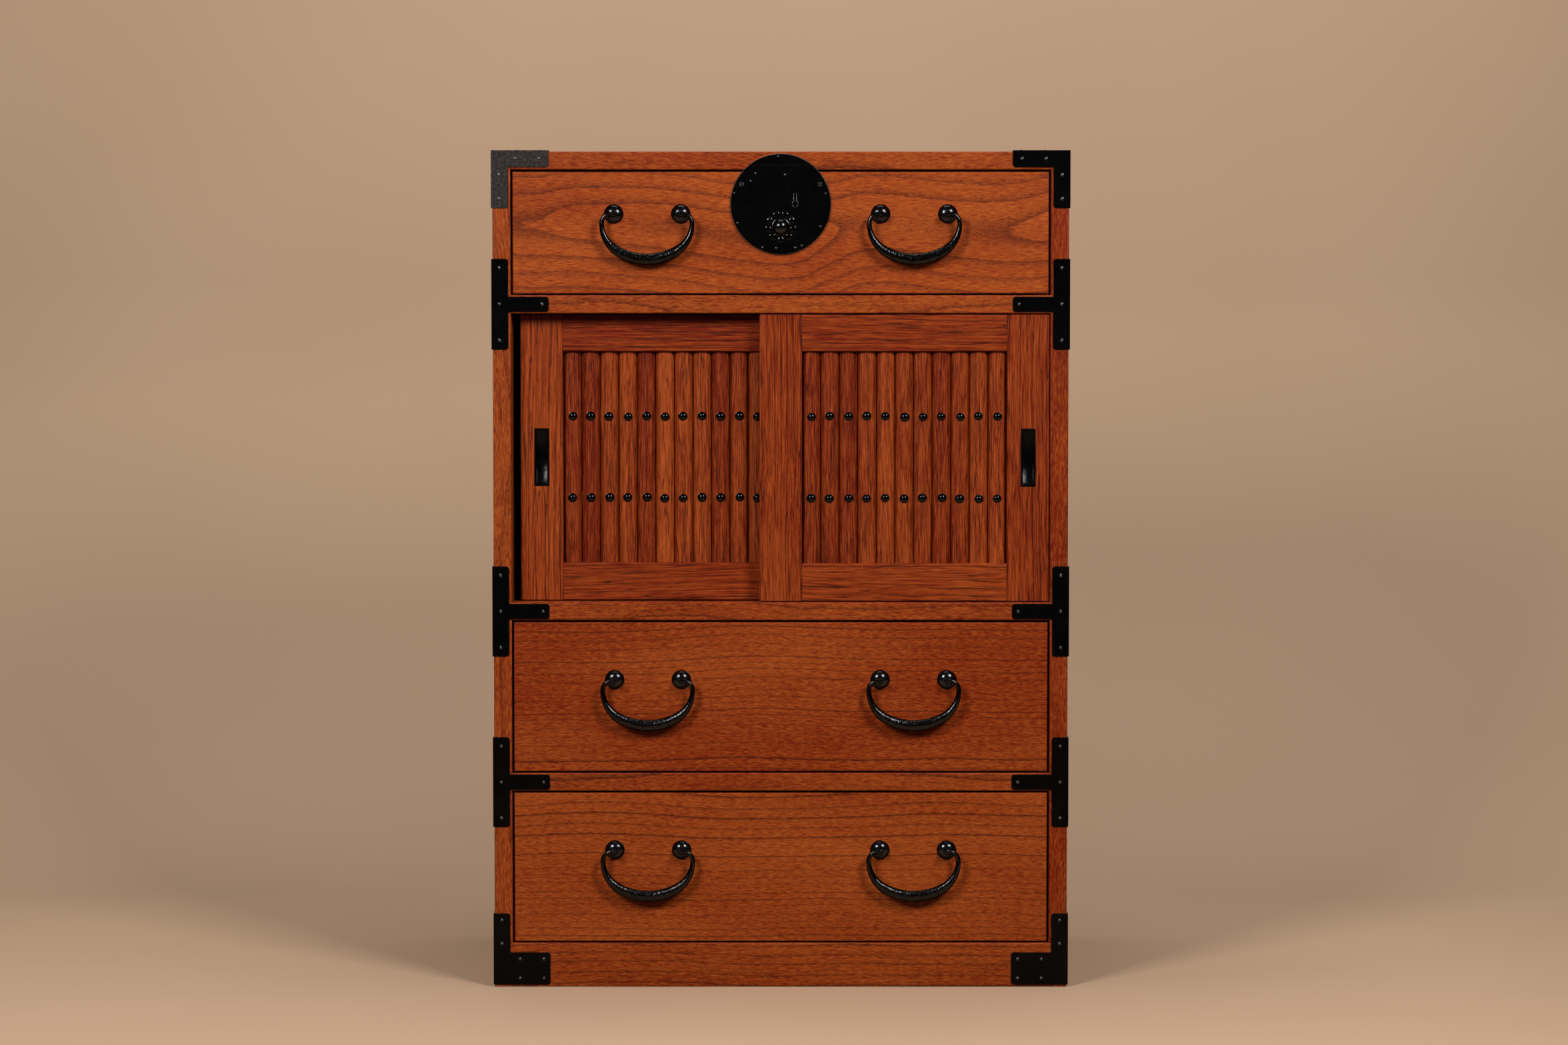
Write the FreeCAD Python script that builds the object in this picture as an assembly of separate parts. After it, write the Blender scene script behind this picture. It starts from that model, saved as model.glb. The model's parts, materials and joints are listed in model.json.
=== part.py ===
import FreeCAD, Part
import math
import os

# A merchant chest: a finger-jointed case bound with black iron, three drawers and a pair of sliding doors.
# Millimetres. X runs to the right, Y from the front to the back, Z up.
# The origin lies on the floor, under the middle of the chest with its handles.

Vector = FreeCAD.Vector
ALONG_X = Vector(1, 0, 0)
ALONG_Z = Vector(0, 0, 1)
OUT_FRONT = Vector(0, -1, 0)
OUT_LEFT = Vector(-1, 0, 0)

# Case boards and openings
chest_width = 700.0
chest_depth = 400.0
side_board = 22.0
cross_board = 22.0  # the top panel and the dividers
top_opening = 152.0
door_opening = 352.0
middle_opening = 187.0
lower_opening = 187.0
base_rail_height = 54.0
base_rail_board = 22.0
bottom_board = 18.0
housing = 8.0  # how far the cross boards are let into the sides
finger_count = 7  # along each joint between the top and a side
back_board = 8.0
back_rabbet = 10.0
back_board_count = 5
edge_break = 1.0  # chamfer along the front edges of the boards

# Drawers
front_board = 20.0
front_recess = 1.0  # the fronts lie this far behind the front edges of the case
front_gap = 2.5  # beside and above a front
front_gap_below = 2.0
drawer_side_board = 12.0
drawer_side_drop = 6.0  # upper edge of the sides below that of the front
drawer_back_board = 12.0
drawer_back_inset = 6.0
drawer_bottom_board = 7.0
drawer_bottom_lift = 8.0  # bottom above the lower edges of the sides
drawer_groove = 5.0  # depth of the grooves that hold the bottom and the back
drawer_stop_gap = 0.5  # closed drawer to the back boards
side_lap = 10.0  # how far the sides are let into the front
slide_clearance = 0.3  # between a sliding piece and what it runs on

# Handles
handle_offset = 162.0  # middle of the chest to the middle of a handle
handle_spacing = 81.5  # eye to eye
top_handle_drop = 51.0  # upper edge of the front to the eyes
deep_handle_drop = 70.0
rosette_radius = 12.0
rosette_height = 9.0
dome_sides = 16  # of the rosettes and of the lock's boss
dome_profile = ((1.0, 0.0), (0.92, 0.34), (0.68, 0.74), (0.3, 1.0))  # shares of its radius and height
rosette_play = 0.2  # between a rosette and the eye above it
eye_sides = 12
pin_strip = 1.8  # thickness of the iron strip that an eye pin is bent from
pin_width = 4.0
pin_clench = 14.0  # length of each leg bent over behind the front
pin_play = 0.1
bail_tip = 2.7  # corner radius of the octagonal bar at its tips
bail_grip = 6.0  # the same at the grip, across the handle
bail_grip_depth = 4.8  # and from front to back
bail_play = 0.3
bail_tip_reach = 4.5  # tip past the middle of its eye
bail_tip_run = 2.0  # straight run outside the eye
bail_curl = 12.0
bail_side = 39.0
bail_side_sweep = 60.0  # degrees
bail_swell_start = 60.0  # degrees turned before the bar starts to swell
bail_sides = 8
bail_steps = (5, 4, 3)  # along the curl, the side and the grip

# Sliding doors
door_board = 20.0
door_recess = 4.0  # front door behind the front edges of the case
door_gap = 3.0  # between the two doors
door_stile = 52.0
door_top_rail = 45.0
door_bottom_rail = 46.0
door_side_gap = 0.5
door_shoulder_gap = 1.2  # shoulders to the boards above and below
left_door_ajar = 9.0
track_tongue = 8.0
track_play = 0.5
head_groove = 10.0
head_play = 3.0  # lets a door be lifted out of its sill groove
sill_groove = 4.0
tenon_length = 15.0
tenon_board = 7.0
tenon_shoulder = 7.0
slat_count = 11
slat_board = 8.0
slat_bulge = 5.0
slat_facets = 6
slat_setback = 4.5
slat_gap = 0.4
batten_height = 16.0
batten_inset = 1.0  # battens in front of the back of the door
batten_tenon = 8.0
nail_row_spacing = 100.0
nail_sides = 8
nail_crown = 0.5  # share of a head's radius left flat on top
nail_radius = 5.2
nail_height = 3.6
nail_shank = 2.4
nail_grip = 3.0  # shank into the batten
pull_width = 18.0
pull_height = 70.5
pull_rim = 2.5
pull_sheet = 1.0
pull_depth = 8.0
pull_end_depth = 1.5  # depth of the scooped floor at its two ends

# Lock
lock_radius = 61.0
lock_edge = 2.7  # rim below the top of the chest
lock_lap = 5.8  # drawer plate over the edge of the top panel
lock_sheet = 1.5
lock_joint = 0.5  # between the drawer plate and the rail plate
lock_play = 0.3  # drawer plate in front of the edge of the top panel
cover_sheet = 1.5
cover_margin = 0.8  # cover inside the rim of the plate
cover_ear_drop = 29.3
cover_step = 39.0  # middle of the plate to the inner edge of an ear
cover_step_drop = 20.8
cover_dip_drop = 28.3
cover_sag = 1.6  # how far the ogee bows below its chord
cover_notch = 3.0
keyhole_offset = 17.5
keyhole_radius = 3.6
keyhole_slot = 3.0
keyhole_height = 12.5
boss_drop = 27.3  # below the middle of the plate
boss_radius = 11.0
boss_height = 8.0
collar_radius = 18.0
collar_waist = 15.0
collar_sheet = 1.2
petal_count = 9
petal_shoulders = (0.3, 0.7)  # shares of a petal's width
rivet_offset = 47.5
rivet_drop = 23.7
rivet_sides = 12
rivet_radius = 2.6
rivet_hole = 1.5
rivet_height = 0.8
lock_case_width = 52.0
lock_case_wall = 1.5
lock_chamber = 18.0
lock_floor_drop = 8.0  # floor of the chamber below the keyhole
bolt_width = 12.0
bolt_board = 5.0
bolt_foot_width = 20.0
bolt_foot = 6.0
bolt_rest = 0.5  # drawn bolt below the upper edge of the front
strike_depth = 12.0

# Irons
iron_sheet = 1.5
iron_margin = 3.0  # bare wood between an iron and an opening
iron_wrap = 20.0  # flanges on the sides and the top
iron_corner = 2.0  # clipped off the free corners
corner_iron_leg = 70.0
tee_iron_height = 110.0
tee_iron_leg = 69.5
tee_margin = 1.8
base_iron_leg = 69.5
base_iron_height = 87.5
base_iron_lift = 3.0
base_iron_margin = 11.5
iron_nail_sides = 6
iron_nail_radius = 1.9
iron_nail_height = 1.0
iron_nail_inset = 11.0  # nail to the free end of a leg
iron_nail_pitch = 29.0  # between the two nails of a corner iron's leg
tee_nail_inset = 7.5
base_nail_inset = 8.0

# Levels of the case, from the floor up
lower_divider_z = base_rail_height + lower_opening
middle_divider_z = lower_divider_z + cross_board + middle_opening
upper_divider_z = middle_divider_z + cross_board + door_opening
top_panel_z = upper_divider_z + cross_board + top_opening
chest_height = top_panel_z + cross_board
divider_levels = (lower_divider_z, middle_divider_z, upper_divider_z)
door_floor = middle_divider_z + cross_board
door_ceiling = upper_divider_z

# Depths of the case, with the handles counted in the whole depth
eye_hole = bail_tip + bail_play
eye_radius = eye_hole + pin_strip
eye_standoff = rosette_height + rosette_play + eye_radius
handle_reach = eye_standoff + max(eye_radius, bail_grip_depth)
back_y = (chest_depth + handle_reach - front_recess) / 2
front_y = back_y - chest_depth
inside_back_y = back_y - back_board
front_face_y = front_y + front_recess
front_back_y = front_face_y + front_board
eye_y = front_face_y - eye_standoff
drawer_end_y = inside_back_y - drawer_stop_gap

# Widths of the case
half_width = chest_width / 2
inside_x = half_width - side_board
front_half = inside_x - front_gap

# Lock levels and depths
lock_z = chest_height - lock_edge - lock_radius
lock_split_z = top_panel_z + lock_lap
lock_face_y = front_y - lock_play - lock_sheet
cover_face_y = lock_face_y - cover_sheet
front_top_z = top_panel_z - front_gap
lock_case_board = bolt_board + 2 * slide_clearance + 2 * lock_case_wall
lock_case_y = (front_back_y - lock_case_board, front_back_y)
chamber_floor_z = lock_z - lock_floor_drop
lock_case_z = (chamber_floor_z - lock_case_wall, chamber_floor_z + lock_chamber + lock_case_wall)

# Door levels and depths
door_width = inside_x - door_side_gap + door_stile / 2
door_z = (door_floor + door_shoulder_gap, door_ceiling - door_shoulder_gap)
tongue_z = (door_floor - sill_groove + slide_clearance, door_ceiling + head_groove - head_play)
panel_z = (door_z[0] + door_bottom_rail, door_z[1] - door_top_rail)
panel_middle_z = (panel_z[0] + panel_z[1]) / 2
nail_rows = (panel_middle_z - nail_row_spacing / 2, panel_middle_z + nail_row_spacing / 2)
front_door_y = front_y + door_recess
rear_door_y = front_door_y + door_board + door_gap


def block(x, y, z):
    """A board between the (low, high) pairs along X, Y and Z."""
    return Part.makeBox(x[1] - x[0], y[1] - y[0], z[1] - z[0], Vector(x[0], y[0], z[0]))


def around(centre, width):
    """The (low, high) pair of a width centred on a point."""
    return (centre - width / 2, centre + width / 2)


def mirrored(shape):
    """The right-hand copy of a left-hand piece."""
    return shape.mirror(Vector(0, 0, 0), ALONG_X)


def joined(pieces):
    """One solid from pieces that meet."""
    return pieces[0].fuse(pieces[1:]).removeSplitter().Solids[0]


def less(piece, cuts):
    """A solid with the cuts taken out of it."""
    return piece.cut(cuts).Solids[0]


def ease(board, y, *directions):
    """Chamfers the edges of a board that lie in the plane y and run along one of the directions."""
    edges = []
    for edge in board.Edges:
        first = edge.Vertexes[0].Point
        last = edge.Vertexes[-1].Point
        in_plane = abs(first.y - y) + abs(last.y - y) < 1e-6
        if in_plane and any((last - first).cross(way).Length < 1e-6 for way in directions):
            edges.append(edge)
    return board.makeChamfer(edge_break, edges)


def clipped_outline(corners, y):
    """A closed wire in the plane y through (x, z, clip) corners, where a clip of 0 is a plain corner."""
    points = [Vector(x, y, z) for x, z, clip in corners]
    outline = []
    for i, here in enumerate(points):
        clip = corners[i][2]
        back = (points[i - 1] - here).normalize()
        ahead = (points[(i + 1) % len(points)] - here).normalize()
        outline.append(here + back * clip)
        if clip > 0:
            outline.append(here + ahead * clip)
    return Part.makePolygon(outline + outline[:1])


def sheet_from(wire, thickness):
    """A plate that stands the thickness out of the wire's plane, towards the front."""
    return Part.Face(wire).extrude(OUT_FRONT * thickness)


def polygon(centre, out, radius, sides):
    """The corners of a regular polygon round the axis out."""
    across = ALONG_Z if abs(out.z) < 0.5 else ALONG_X
    beside = out.cross(across)
    turns = [math.radians(360 * (k + 0.5) / sides) for k in range(sides)]
    return [centre + (across * math.cos(turn) + beside * math.sin(turn)) * radius for turn in turns]


def flat_faces(corners):
    """One face through four corners, or two if the corners are not in one plane."""
    first, second, third, fourth = corners
    normal = (second - first).cross(third - first)
    loops = [corners]
    if abs(normal.normalize().dot(fourth - first)) > 1e-6:
        loops = [[first, second, third], [first, third, fourth]]
    return [Part.Face(Part.makePolygon(loop + loop[:1])) for loop in loops]


def faceted(rings):
    """A solid with flat faces through rings of equally many corners, closed at both ends."""
    faces = [Part.Face(Part.makePolygon(ring + ring[:1])) for ring in (rings[0], rings[-1])]
    for ring, following in zip(rings, rings[1:]):
        for k in range(len(ring)):
            faces += flat_faces([ring[k - 1], ring[k], following[k], following[k - 1]])
    solid = Part.Solid(Part.Shell(faces))
    if solid.Volume < 0:
        solid.reverse()
    return solid


def turned(base, out, sides, profile):
    """A faceted solid on a base point, through the (radius, height) rings of a profile."""
    return faceted([polygon(base + out * height, out, radius, sides) for radius, height in profile])


def dome(x, z, base_y, radius, height):
    """A domed boss on the plane base_y, towards the front."""
    profile = [(radius * across, height * up) for across, up in dome_profile]
    return turned(Vector(x, base_y, z), OUT_FRONT, dome_sides, profile)


def disc(x, z, base_y, radius, height):
    """A round plate on the plane base_y, towards the front."""
    return Part.makeCylinder(radius, height, Vector(x, base_y, z), OUT_FRONT)


def finger_blocks(first):
    """Every second finger of the joint between the top and the left side, from the given one on."""
    width = chest_depth / finger_count
    fingers = []
    for i in range(first, finger_count, 2):
        finger_y = (front_y + i * width, front_y + (i + 1) * width)
        fingers.append(block((-half_width, -inside_x), finger_y, (top_panel_z, chest_height)))
    return fingers


def cross_piece(y, z):
    """A board across the case, let into both sides."""
    return block(around(0, 2 * (inside_x + housing)), y, z)


def door_tracks(z):
    """The two grooves that the doors run in, between the sides."""
    grooves = []
    for door_y in (front_door_y, rear_door_y):
        groove_y = around(door_y + door_board / 2, track_tongue + 2 * track_play)
        grooves.append(block((-inside_x, inside_x), groove_y, z))
    return grooves


def make_case():
    """The boards of the case."""
    divider_y = (front_y, inside_back_y)
    lower, middle, upper = [
        ease(cross_piece(divider_y, (z, z + cross_board)), front_y, ALONG_X) for z in divider_levels
    ]
    base_rail = cross_piece((front_y, front_y + base_rail_board), (0, base_rail_height))
    bottom_z = (base_rail_height - bottom_board, base_rail_height)
    bottom = cross_piece((front_y + base_rail_board, inside_back_y), bottom_z)
    back = block(around(0, 2 * (inside_x + back_rabbet)), (inside_back_y, back_y), (bottom_z[0], top_panel_z))

    side = block((-half_width, -inside_x), (front_y, back_y), (0, chest_height))
    side = ease(side, front_y, ALONG_Z)
    housings = [cross_piece(divider_y, (z, z + cross_board)) for z in divider_levels]
    side = less(side, housings + [base_rail, bottom, back] + finger_blocks(1))

    top = block((-half_width, half_width), (front_y, back_y), (top_panel_z, chest_height))
    top = ease(top, front_y, ALONG_X)
    strike = bolt_slot((top_panel_z, top_panel_z + strike_depth))
    side_fingers = finger_blocks(0)
    top = less(top, side_fingers + [mirrored(finger) for finger in side_fingers] + [strike])

    board_width = 2 * (inside_x + back_rabbet) / back_board_count
    boards = []
    for i in range(back_board_count):
        left = -inside_x - back_rabbet + i * board_width
        board = block((left, left + board_width), (inside_back_y, back_y), (bottom_z[0], top_panel_z))
        boards.append(ease(board, back_y, ALONG_Z))

    head_z = (door_ceiling, door_ceiling + head_groove)
    sill_z = (door_floor - sill_groove, door_floor)
    return {
        "side_panel_left": side,
        "side_panel_right": mirrored(side),
        "top_panel": top,
        "upper_divider": less(upper, door_tracks(head_z)),
        "middle_divider": less(middle, door_tracks(sill_z)),
        "lower_divider": lower,
        "bottom_panel": bottom,
        "base_rail": ease(base_rail, front_y, ALONG_X),
        "back_boards": Part.makeCompound(boards),
    }


def eye_places(handle_x):
    """The X of the two eyes of a handle."""
    return (handle_x - handle_spacing / 2, handle_x + handle_spacing / 2)


def pin_slot(x, y, z):
    """The slot that an eye pin's two legs pass through."""
    return block(around(x, pin_width + 2 * pin_play), y, around(z, 2 * pin_strip + 2 * pin_play))


def rosette(x, z):
    """The domed plate under an eye."""
    cap = dome(x, z, front_face_y, rosette_radius, rosette_height)
    return less(cap, [pin_slot(x, (front_face_y - rosette_height, front_face_y), z)])


def eye_prism(x, z, radius):
    """A prism across an eye, over the (low, high) pair x."""
    corners = polygon(Vector(x[0], eye_y, z), ALONG_X, radius, eye_sides)
    return Part.Face(Part.makePolygon(corners + corners[:1])).extrude(ALONG_X * (x[1] - x[0]))


def eye_pin(x, z):
    """A split pin: a strip bent into an eye, with its legs through the front and clenched behind it."""
    wide = around(x, pin_width)
    ring = eye_prism(wide, z, eye_radius)
    hole = eye_prism(wide, z, eye_hole / math.cos(math.pi / eye_sides))
    legs = block(wide, (eye_y + eye_hole, front_back_y), around(z, 2 * pin_strip))
    clench = block(wide, (front_back_y, front_back_y + pin_strip), around(z, 2 * pin_clench))
    return less(joined([ring, legs, clench]), [hole])


def bail_stations():
    """Half of a bail's centre line, as (x, z, degrees turned down from +X), from its tip to the grip."""
    eye_x = handle_spacing / 2
    stations = [(eye_x - bail_tip_reach, 0.0, 0.0)]
    x, z, turned = eye_x + bail_tip_run, 0.0, 0.0
    stations.append((x, z, turned))
    bends = ((bail_curl, 90.0), (bail_side, bail_side_sweep), (None, 90.0 - bail_side_sweep))
    for (radius, sweep), steps in zip(bends, bail_steps):
        if radius is None:
            radius = x / math.sin(math.radians(turned))
        centre_x = x - radius * math.sin(math.radians(turned))
        centre_z = z - radius * math.cos(math.radians(turned))
        start = turned
        for step in range(1, steps + 1):
            turned = start + sweep * step / steps
            x = centre_x + radius * math.sin(math.radians(turned))
            z = centre_z + radius * math.cos(math.radians(turned))
            stations.append((x, z, turned))
    return stations


def bail_section(middle, outward, turned):
    """An octagon across the bar, which swells towards the grip."""
    share = max(0.0, turned - bail_swell_start) / (180.0 - bail_swell_start)
    swell = (1 - math.cos(math.pi * share)) / 2
    across = bail_tip + (bail_grip - bail_tip) * swell
    deep = bail_tip + (bail_grip_depth - bail_tip) * swell
    points = []
    for k in range(bail_sides):
        turn = math.radians(360 * (k + 0.5) / bail_sides)
        points.append(middle + outward * (across * math.cos(turn)) + OUT_FRONT * (deep * math.sin(turn)))
    return points


def bail(handle_x, z):
    """A forged bail that hangs in its two eyes."""
    stations = bail_stations()
    both_sides = [(1, station) for station in stations] + [(-1, station) for station in stations[-2::-1]]
    sections = []
    for side, (station_x, station_z, turned) in both_sides:
        middle = Vector(handle_x + side * station_x, eye_y, z + station_z)
        turn = math.radians(turned)
        outward = Vector(side * math.sin(turn), 0, math.cos(turn))
        sections.append(bail_section(middle, outward, turned))
    return faceted(sections)


def make_drawer(name, floor, height, handle_drop, front_cuts=()):
    """A drawer for the opening above floor: its boards, rosettes, eye pins and two bails."""
    ceiling = floor + height
    front_z = (floor + front_gap_below, ceiling - front_gap)
    side_z = (floor + slide_clearance, front_z[1] - drawer_side_drop)
    bottom_low = side_z[0] + drawer_bottom_lift
    bottom_z = (bottom_low, bottom_low + drawer_bottom_board)
    back_face_y = drawer_end_y - drawer_back_inset
    held = around(0, 2 * (front_half - drawer_side_board + drawer_groove))

    bottom = block(held, (front_back_y - drawer_groove, back_face_y), bottom_z)
    back = block(held, (back_face_y - drawer_back_board, back_face_y), (bottom_z[1], side_z[1]))
    side_x = (-front_half, -front_half + drawer_side_board)
    left_side = block(side_x, (front_back_y - side_lap, drawer_end_y), side_z)
    right_side = mirrored(left_side)
    sides = [less(side, [bottom, back]) for side in (left_side, right_side)]

    eye_z = front_z[1] - handle_drop
    handles = {"left": -handle_offset, "right": handle_offset}
    eyes = [x for handle_x in handles.values() for x in eye_places(handle_x)]
    slots = [pin_slot(x, (front_face_y, front_back_y), eye_z) for x in eyes]
    front = block((-front_half, front_half), (front_face_y, front_back_y), front_z)
    front = ease(front, front_face_y, ALONG_X, ALONG_Z)
    front = less(front, [left_side, right_side, bottom] + slots + list(front_cuts))

    pieces = {
        f"{name}_front": front,
        f"{name}_sides": Part.makeCompound(sides),
        f"{name}_back": back,
        f"{name}_bottom": bottom,
        f"{name}_rosettes": Part.makeCompound([rosette(x, eye_z) for x in eyes]),
        f"{name}_eye_pins": Part.makeCompound([eye_pin(x, eye_z) for x in eyes]),
    }
    for side, handle_x in handles.items():
        pieces[f"{name}_handle_{side}"] = bail(handle_x, eye_z)
    return pieces


def keyhole(y):
    """The keyhole through the depths y: a round hole with a slot above it."""
    round_hole = disc(keyhole_offset, lock_z, y[1], keyhole_radius, y[1] - y[0])
    slot = block(around(keyhole_offset, keyhole_slot), y, (lock_z, lock_z + keyhole_height))
    return joined([round_hole, slot])


def bolt_slot(z):
    """Room for the stem of the bolt between two levels."""
    middle_y = (lock_case_y[0] + lock_case_y[1]) / 2
    wide = around(0, bolt_width + 2 * slide_clearance)
    return block(wide, around(middle_y, bolt_board + 2 * slide_clearance), z)


def lock_front_cuts():
    """What the lock takes out of the drawer front: its mortise, the bolt's way up and the keyhole."""
    mortise = block(around(0, lock_case_width), lock_case_y, lock_case_z)
    return [mortise, bolt_slot((lock_case_z[1], front_top_z)), keyhole((front_face_y, lock_case_y[0]))]


def cover_hollow():
    """The space under the cover's two ogee curves, between its ears."""
    y = lock_face_y
    step_z = lock_split_z - cover_step_drop
    dip_z = lock_split_z - cover_dip_drop
    low_z = lock_z - lock_radius
    edges = []
    for side in (-1, 1):
        outer = Vector(side * cover_step, y, step_z)
        inner = Vector(side * cover_notch, y, dip_z)
        bow = (outer + inner) * 0.5 - ALONG_Z * cover_sag
        edges.append(Part.LineSegment(Vector(side * cover_step, y, low_z), outer).toShape())
        edges.append(Part.Arc(outer, bow, inner).toShape())
        edges.append(Part.LineSegment(inner, Vector(0, y, dip_z + cover_notch)).toShape())
    edges.append(
        Part.LineSegment(Vector(-cover_step, y, low_z), Vector(cover_step, y, low_z)).toShape()
    )
    return sheet_from(Part.Wire(Part.sortEdges(edges)[0]), cover_sheet)


def petal_collar(z):
    """The scalloped plate round the foot of the boss."""
    left, right = petal_shoulders
    shares = ((collar_waist, 0.0), (collar_radius, left), (collar_radius, right))
    rim = []
    for k in range(petal_count):
        for radius, share in shares:
            turn = math.radians(90 + 360 * (k + share) / petal_count)
            rim.append(Vector(radius * math.cos(turn), lock_face_y, z + radius * math.sin(turn)))
    return sheet_from(Part.makePolygon(rim + rim[:1]), collar_sheet)


def make_lock():
    """The round lock plate in its two parts, with its cover, boss and rivets, and the lock behind it."""
    side = (-lock_radius, lock_radius)
    above = (lock_split_z + lock_joint / 2, chest_height)
    below = (lock_z - lock_radius, lock_split_z - lock_joint / 2)
    rail_plate = disc(0, lock_z, front_y, lock_radius, lock_sheet)
    rail_plate = rail_plate.common(block(side, (front_y - lock_sheet, front_y), above)).Solids[0]

    plate_y = (lock_face_y, front_face_y)
    plate = disc(0, lock_z, front_face_y, lock_radius, front_face_y - lock_face_y)
    plate = plate.common(block(side, plate_y, below)).Solids[0]
    behind_lap = block(side, (front_y - lock_play, front_face_y), (front_top_z, lock_split_z))
    plate = less(plate, [behind_lap, keyhole(plate_y)])

    cover = disc(0, lock_z, lock_face_y, lock_radius - cover_margin, cover_sheet)
    cover_z = (lock_split_z - cover_ear_drop, below[1])
    cover = cover.common(block(side, (cover_face_y, lock_face_y), cover_z)).Solids[0]
    cover = less(cover, [cover_hollow()])

    boss_z = lock_z - boss_drop
    rivets = []
    for x in (-rivet_offset, rivet_offset):
        rivet_z = lock_split_z - rivet_drop
        seat = Vector(x, cover_face_y, rivet_z)
        ring = turned(seat, OUT_FRONT, rivet_sides, ((rivet_radius, 0.0), (rivet_radius, rivet_height)))
        hole = turned(seat, OUT_FRONT, rivet_sides, ((rivet_hole, 0.0), (rivet_hole, rivet_height)))
        rivets.append(less(ring, [hole]))

    walls_x = around(0, lock_case_width)
    chamber_x = around(0, lock_case_width - 2 * lock_case_wall)
    chamber_y = (lock_case_y[0] + lock_case_wall, lock_case_y[1] - lock_case_wall)
    chamber_z = (chamber_floor_z, chamber_floor_z + lock_chamber)
    case = block(walls_x, lock_case_y, lock_case_z)
    case = less(
        case,
        [
            block(chamber_x, chamber_y, chamber_z),
            bolt_slot((chamber_z[1], lock_case_z[1])),
            keyhole((lock_case_y[0], chamber_y[0])),
        ],
    )
    bolt_y = (chamber_y[0] + slide_clearance, chamber_y[1] - slide_clearance)
    foot_low = chamber_floor_z + slide_clearance
    foot = block(around(0, bolt_foot_width), bolt_y, (foot_low, foot_low + bolt_foot))
    stem = block(around(0, bolt_width), bolt_y, (foot_low, front_top_z - bolt_rest))
    return {
        "lock_rail_plate": rail_plate,
        "lock_plate": plate,
        "lock_cover": cover,
        "lock_boss_collar": petal_collar(boss_z),
        "lock_boss": dome(0, boss_z, lock_face_y - collar_sheet, boss_radius, boss_height),
        "lock_rivets": Part.makeCompound(rivets),
        "lock_case": case,
        "lock_bolt": joined([foot, stem]),
    }


def tongued(x, z, tongue, face_y):
    """A door member with its full board over z and a thinner tongue over the longer span."""
    board = block(x, (face_y, face_y + door_board), z)
    return joined([board, block(x, around(face_y + door_board / 2, track_tongue), tongue)])


def slat(x, face_y):
    """A slat with a flat back and a front planed round in narrow facets, between the rails."""
    back = face_y + slat_setback + slat_board
    half = (x[1] - x[0]) / 2
    radius = (half ** 2 + slat_bulge ** 2) / (2 * slat_bulge)
    sweep = math.asin(half / radius)
    outline = [Vector(x[1], back, panel_z[0]), Vector(x[0], back, panel_z[0])]
    for k in range(slat_facets + 1):
        turn = sweep * (2 * k / slat_facets - 1)
        front = face_y + slat_setback + radius * (1 - math.cos(turn))
        outline.append(Vector(x[0] + half + radius * math.sin(turn), front, panel_z[0]))
    return Part.Face(Part.makePolygon(outline + outline[:1])).extrude(ALONG_Z * (panel_z[1] - panel_z[0]))


def finger_pull(x, face_y):
    """A recessed pull: a flat rim and a cup with a scooped floor."""
    z = panel_middle_z
    rim = block(around(x, pull_width), (face_y - pull_sheet, face_y), around(z, pull_height))
    cup_width = pull_width - 2 * pull_rim
    cup_height = pull_height - 2 * pull_rim
    walls = block(
        around(x, cup_width + 2 * pull_sheet),
        (face_y - pull_sheet, face_y + pull_depth),
        around(z, cup_height + 2 * pull_sheet),
    )
    mouth_y = face_y - pull_sheet
    hollow = block(around(x, cup_width), (mouth_y, face_y + pull_depth), around(z, cup_height))
    rise = pull_depth - pull_end_depth
    scoop = ((cup_height / 2) ** 2 + rise ** 2) / (2 * rise)
    centre = Vector(x - cup_width / 2, mouth_y + pull_depth - scoop, z)
    hollow = hollow.common(Part.makeCylinder(scoop, cup_width, centre, ALONG_X))
    return less(joined([rim, walls]), [hollow])


def pull_mortise(x, face_y):
    """Room in a stile for the cup of its pull."""
    wide = pull_width - 2 * pull_rim + 2 * pull_sheet
    high = pull_height - 2 * pull_rim + 2 * pull_sheet
    return block(around(x, wide), (face_y, face_y + pull_depth), around(panel_middle_z, high))


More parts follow.
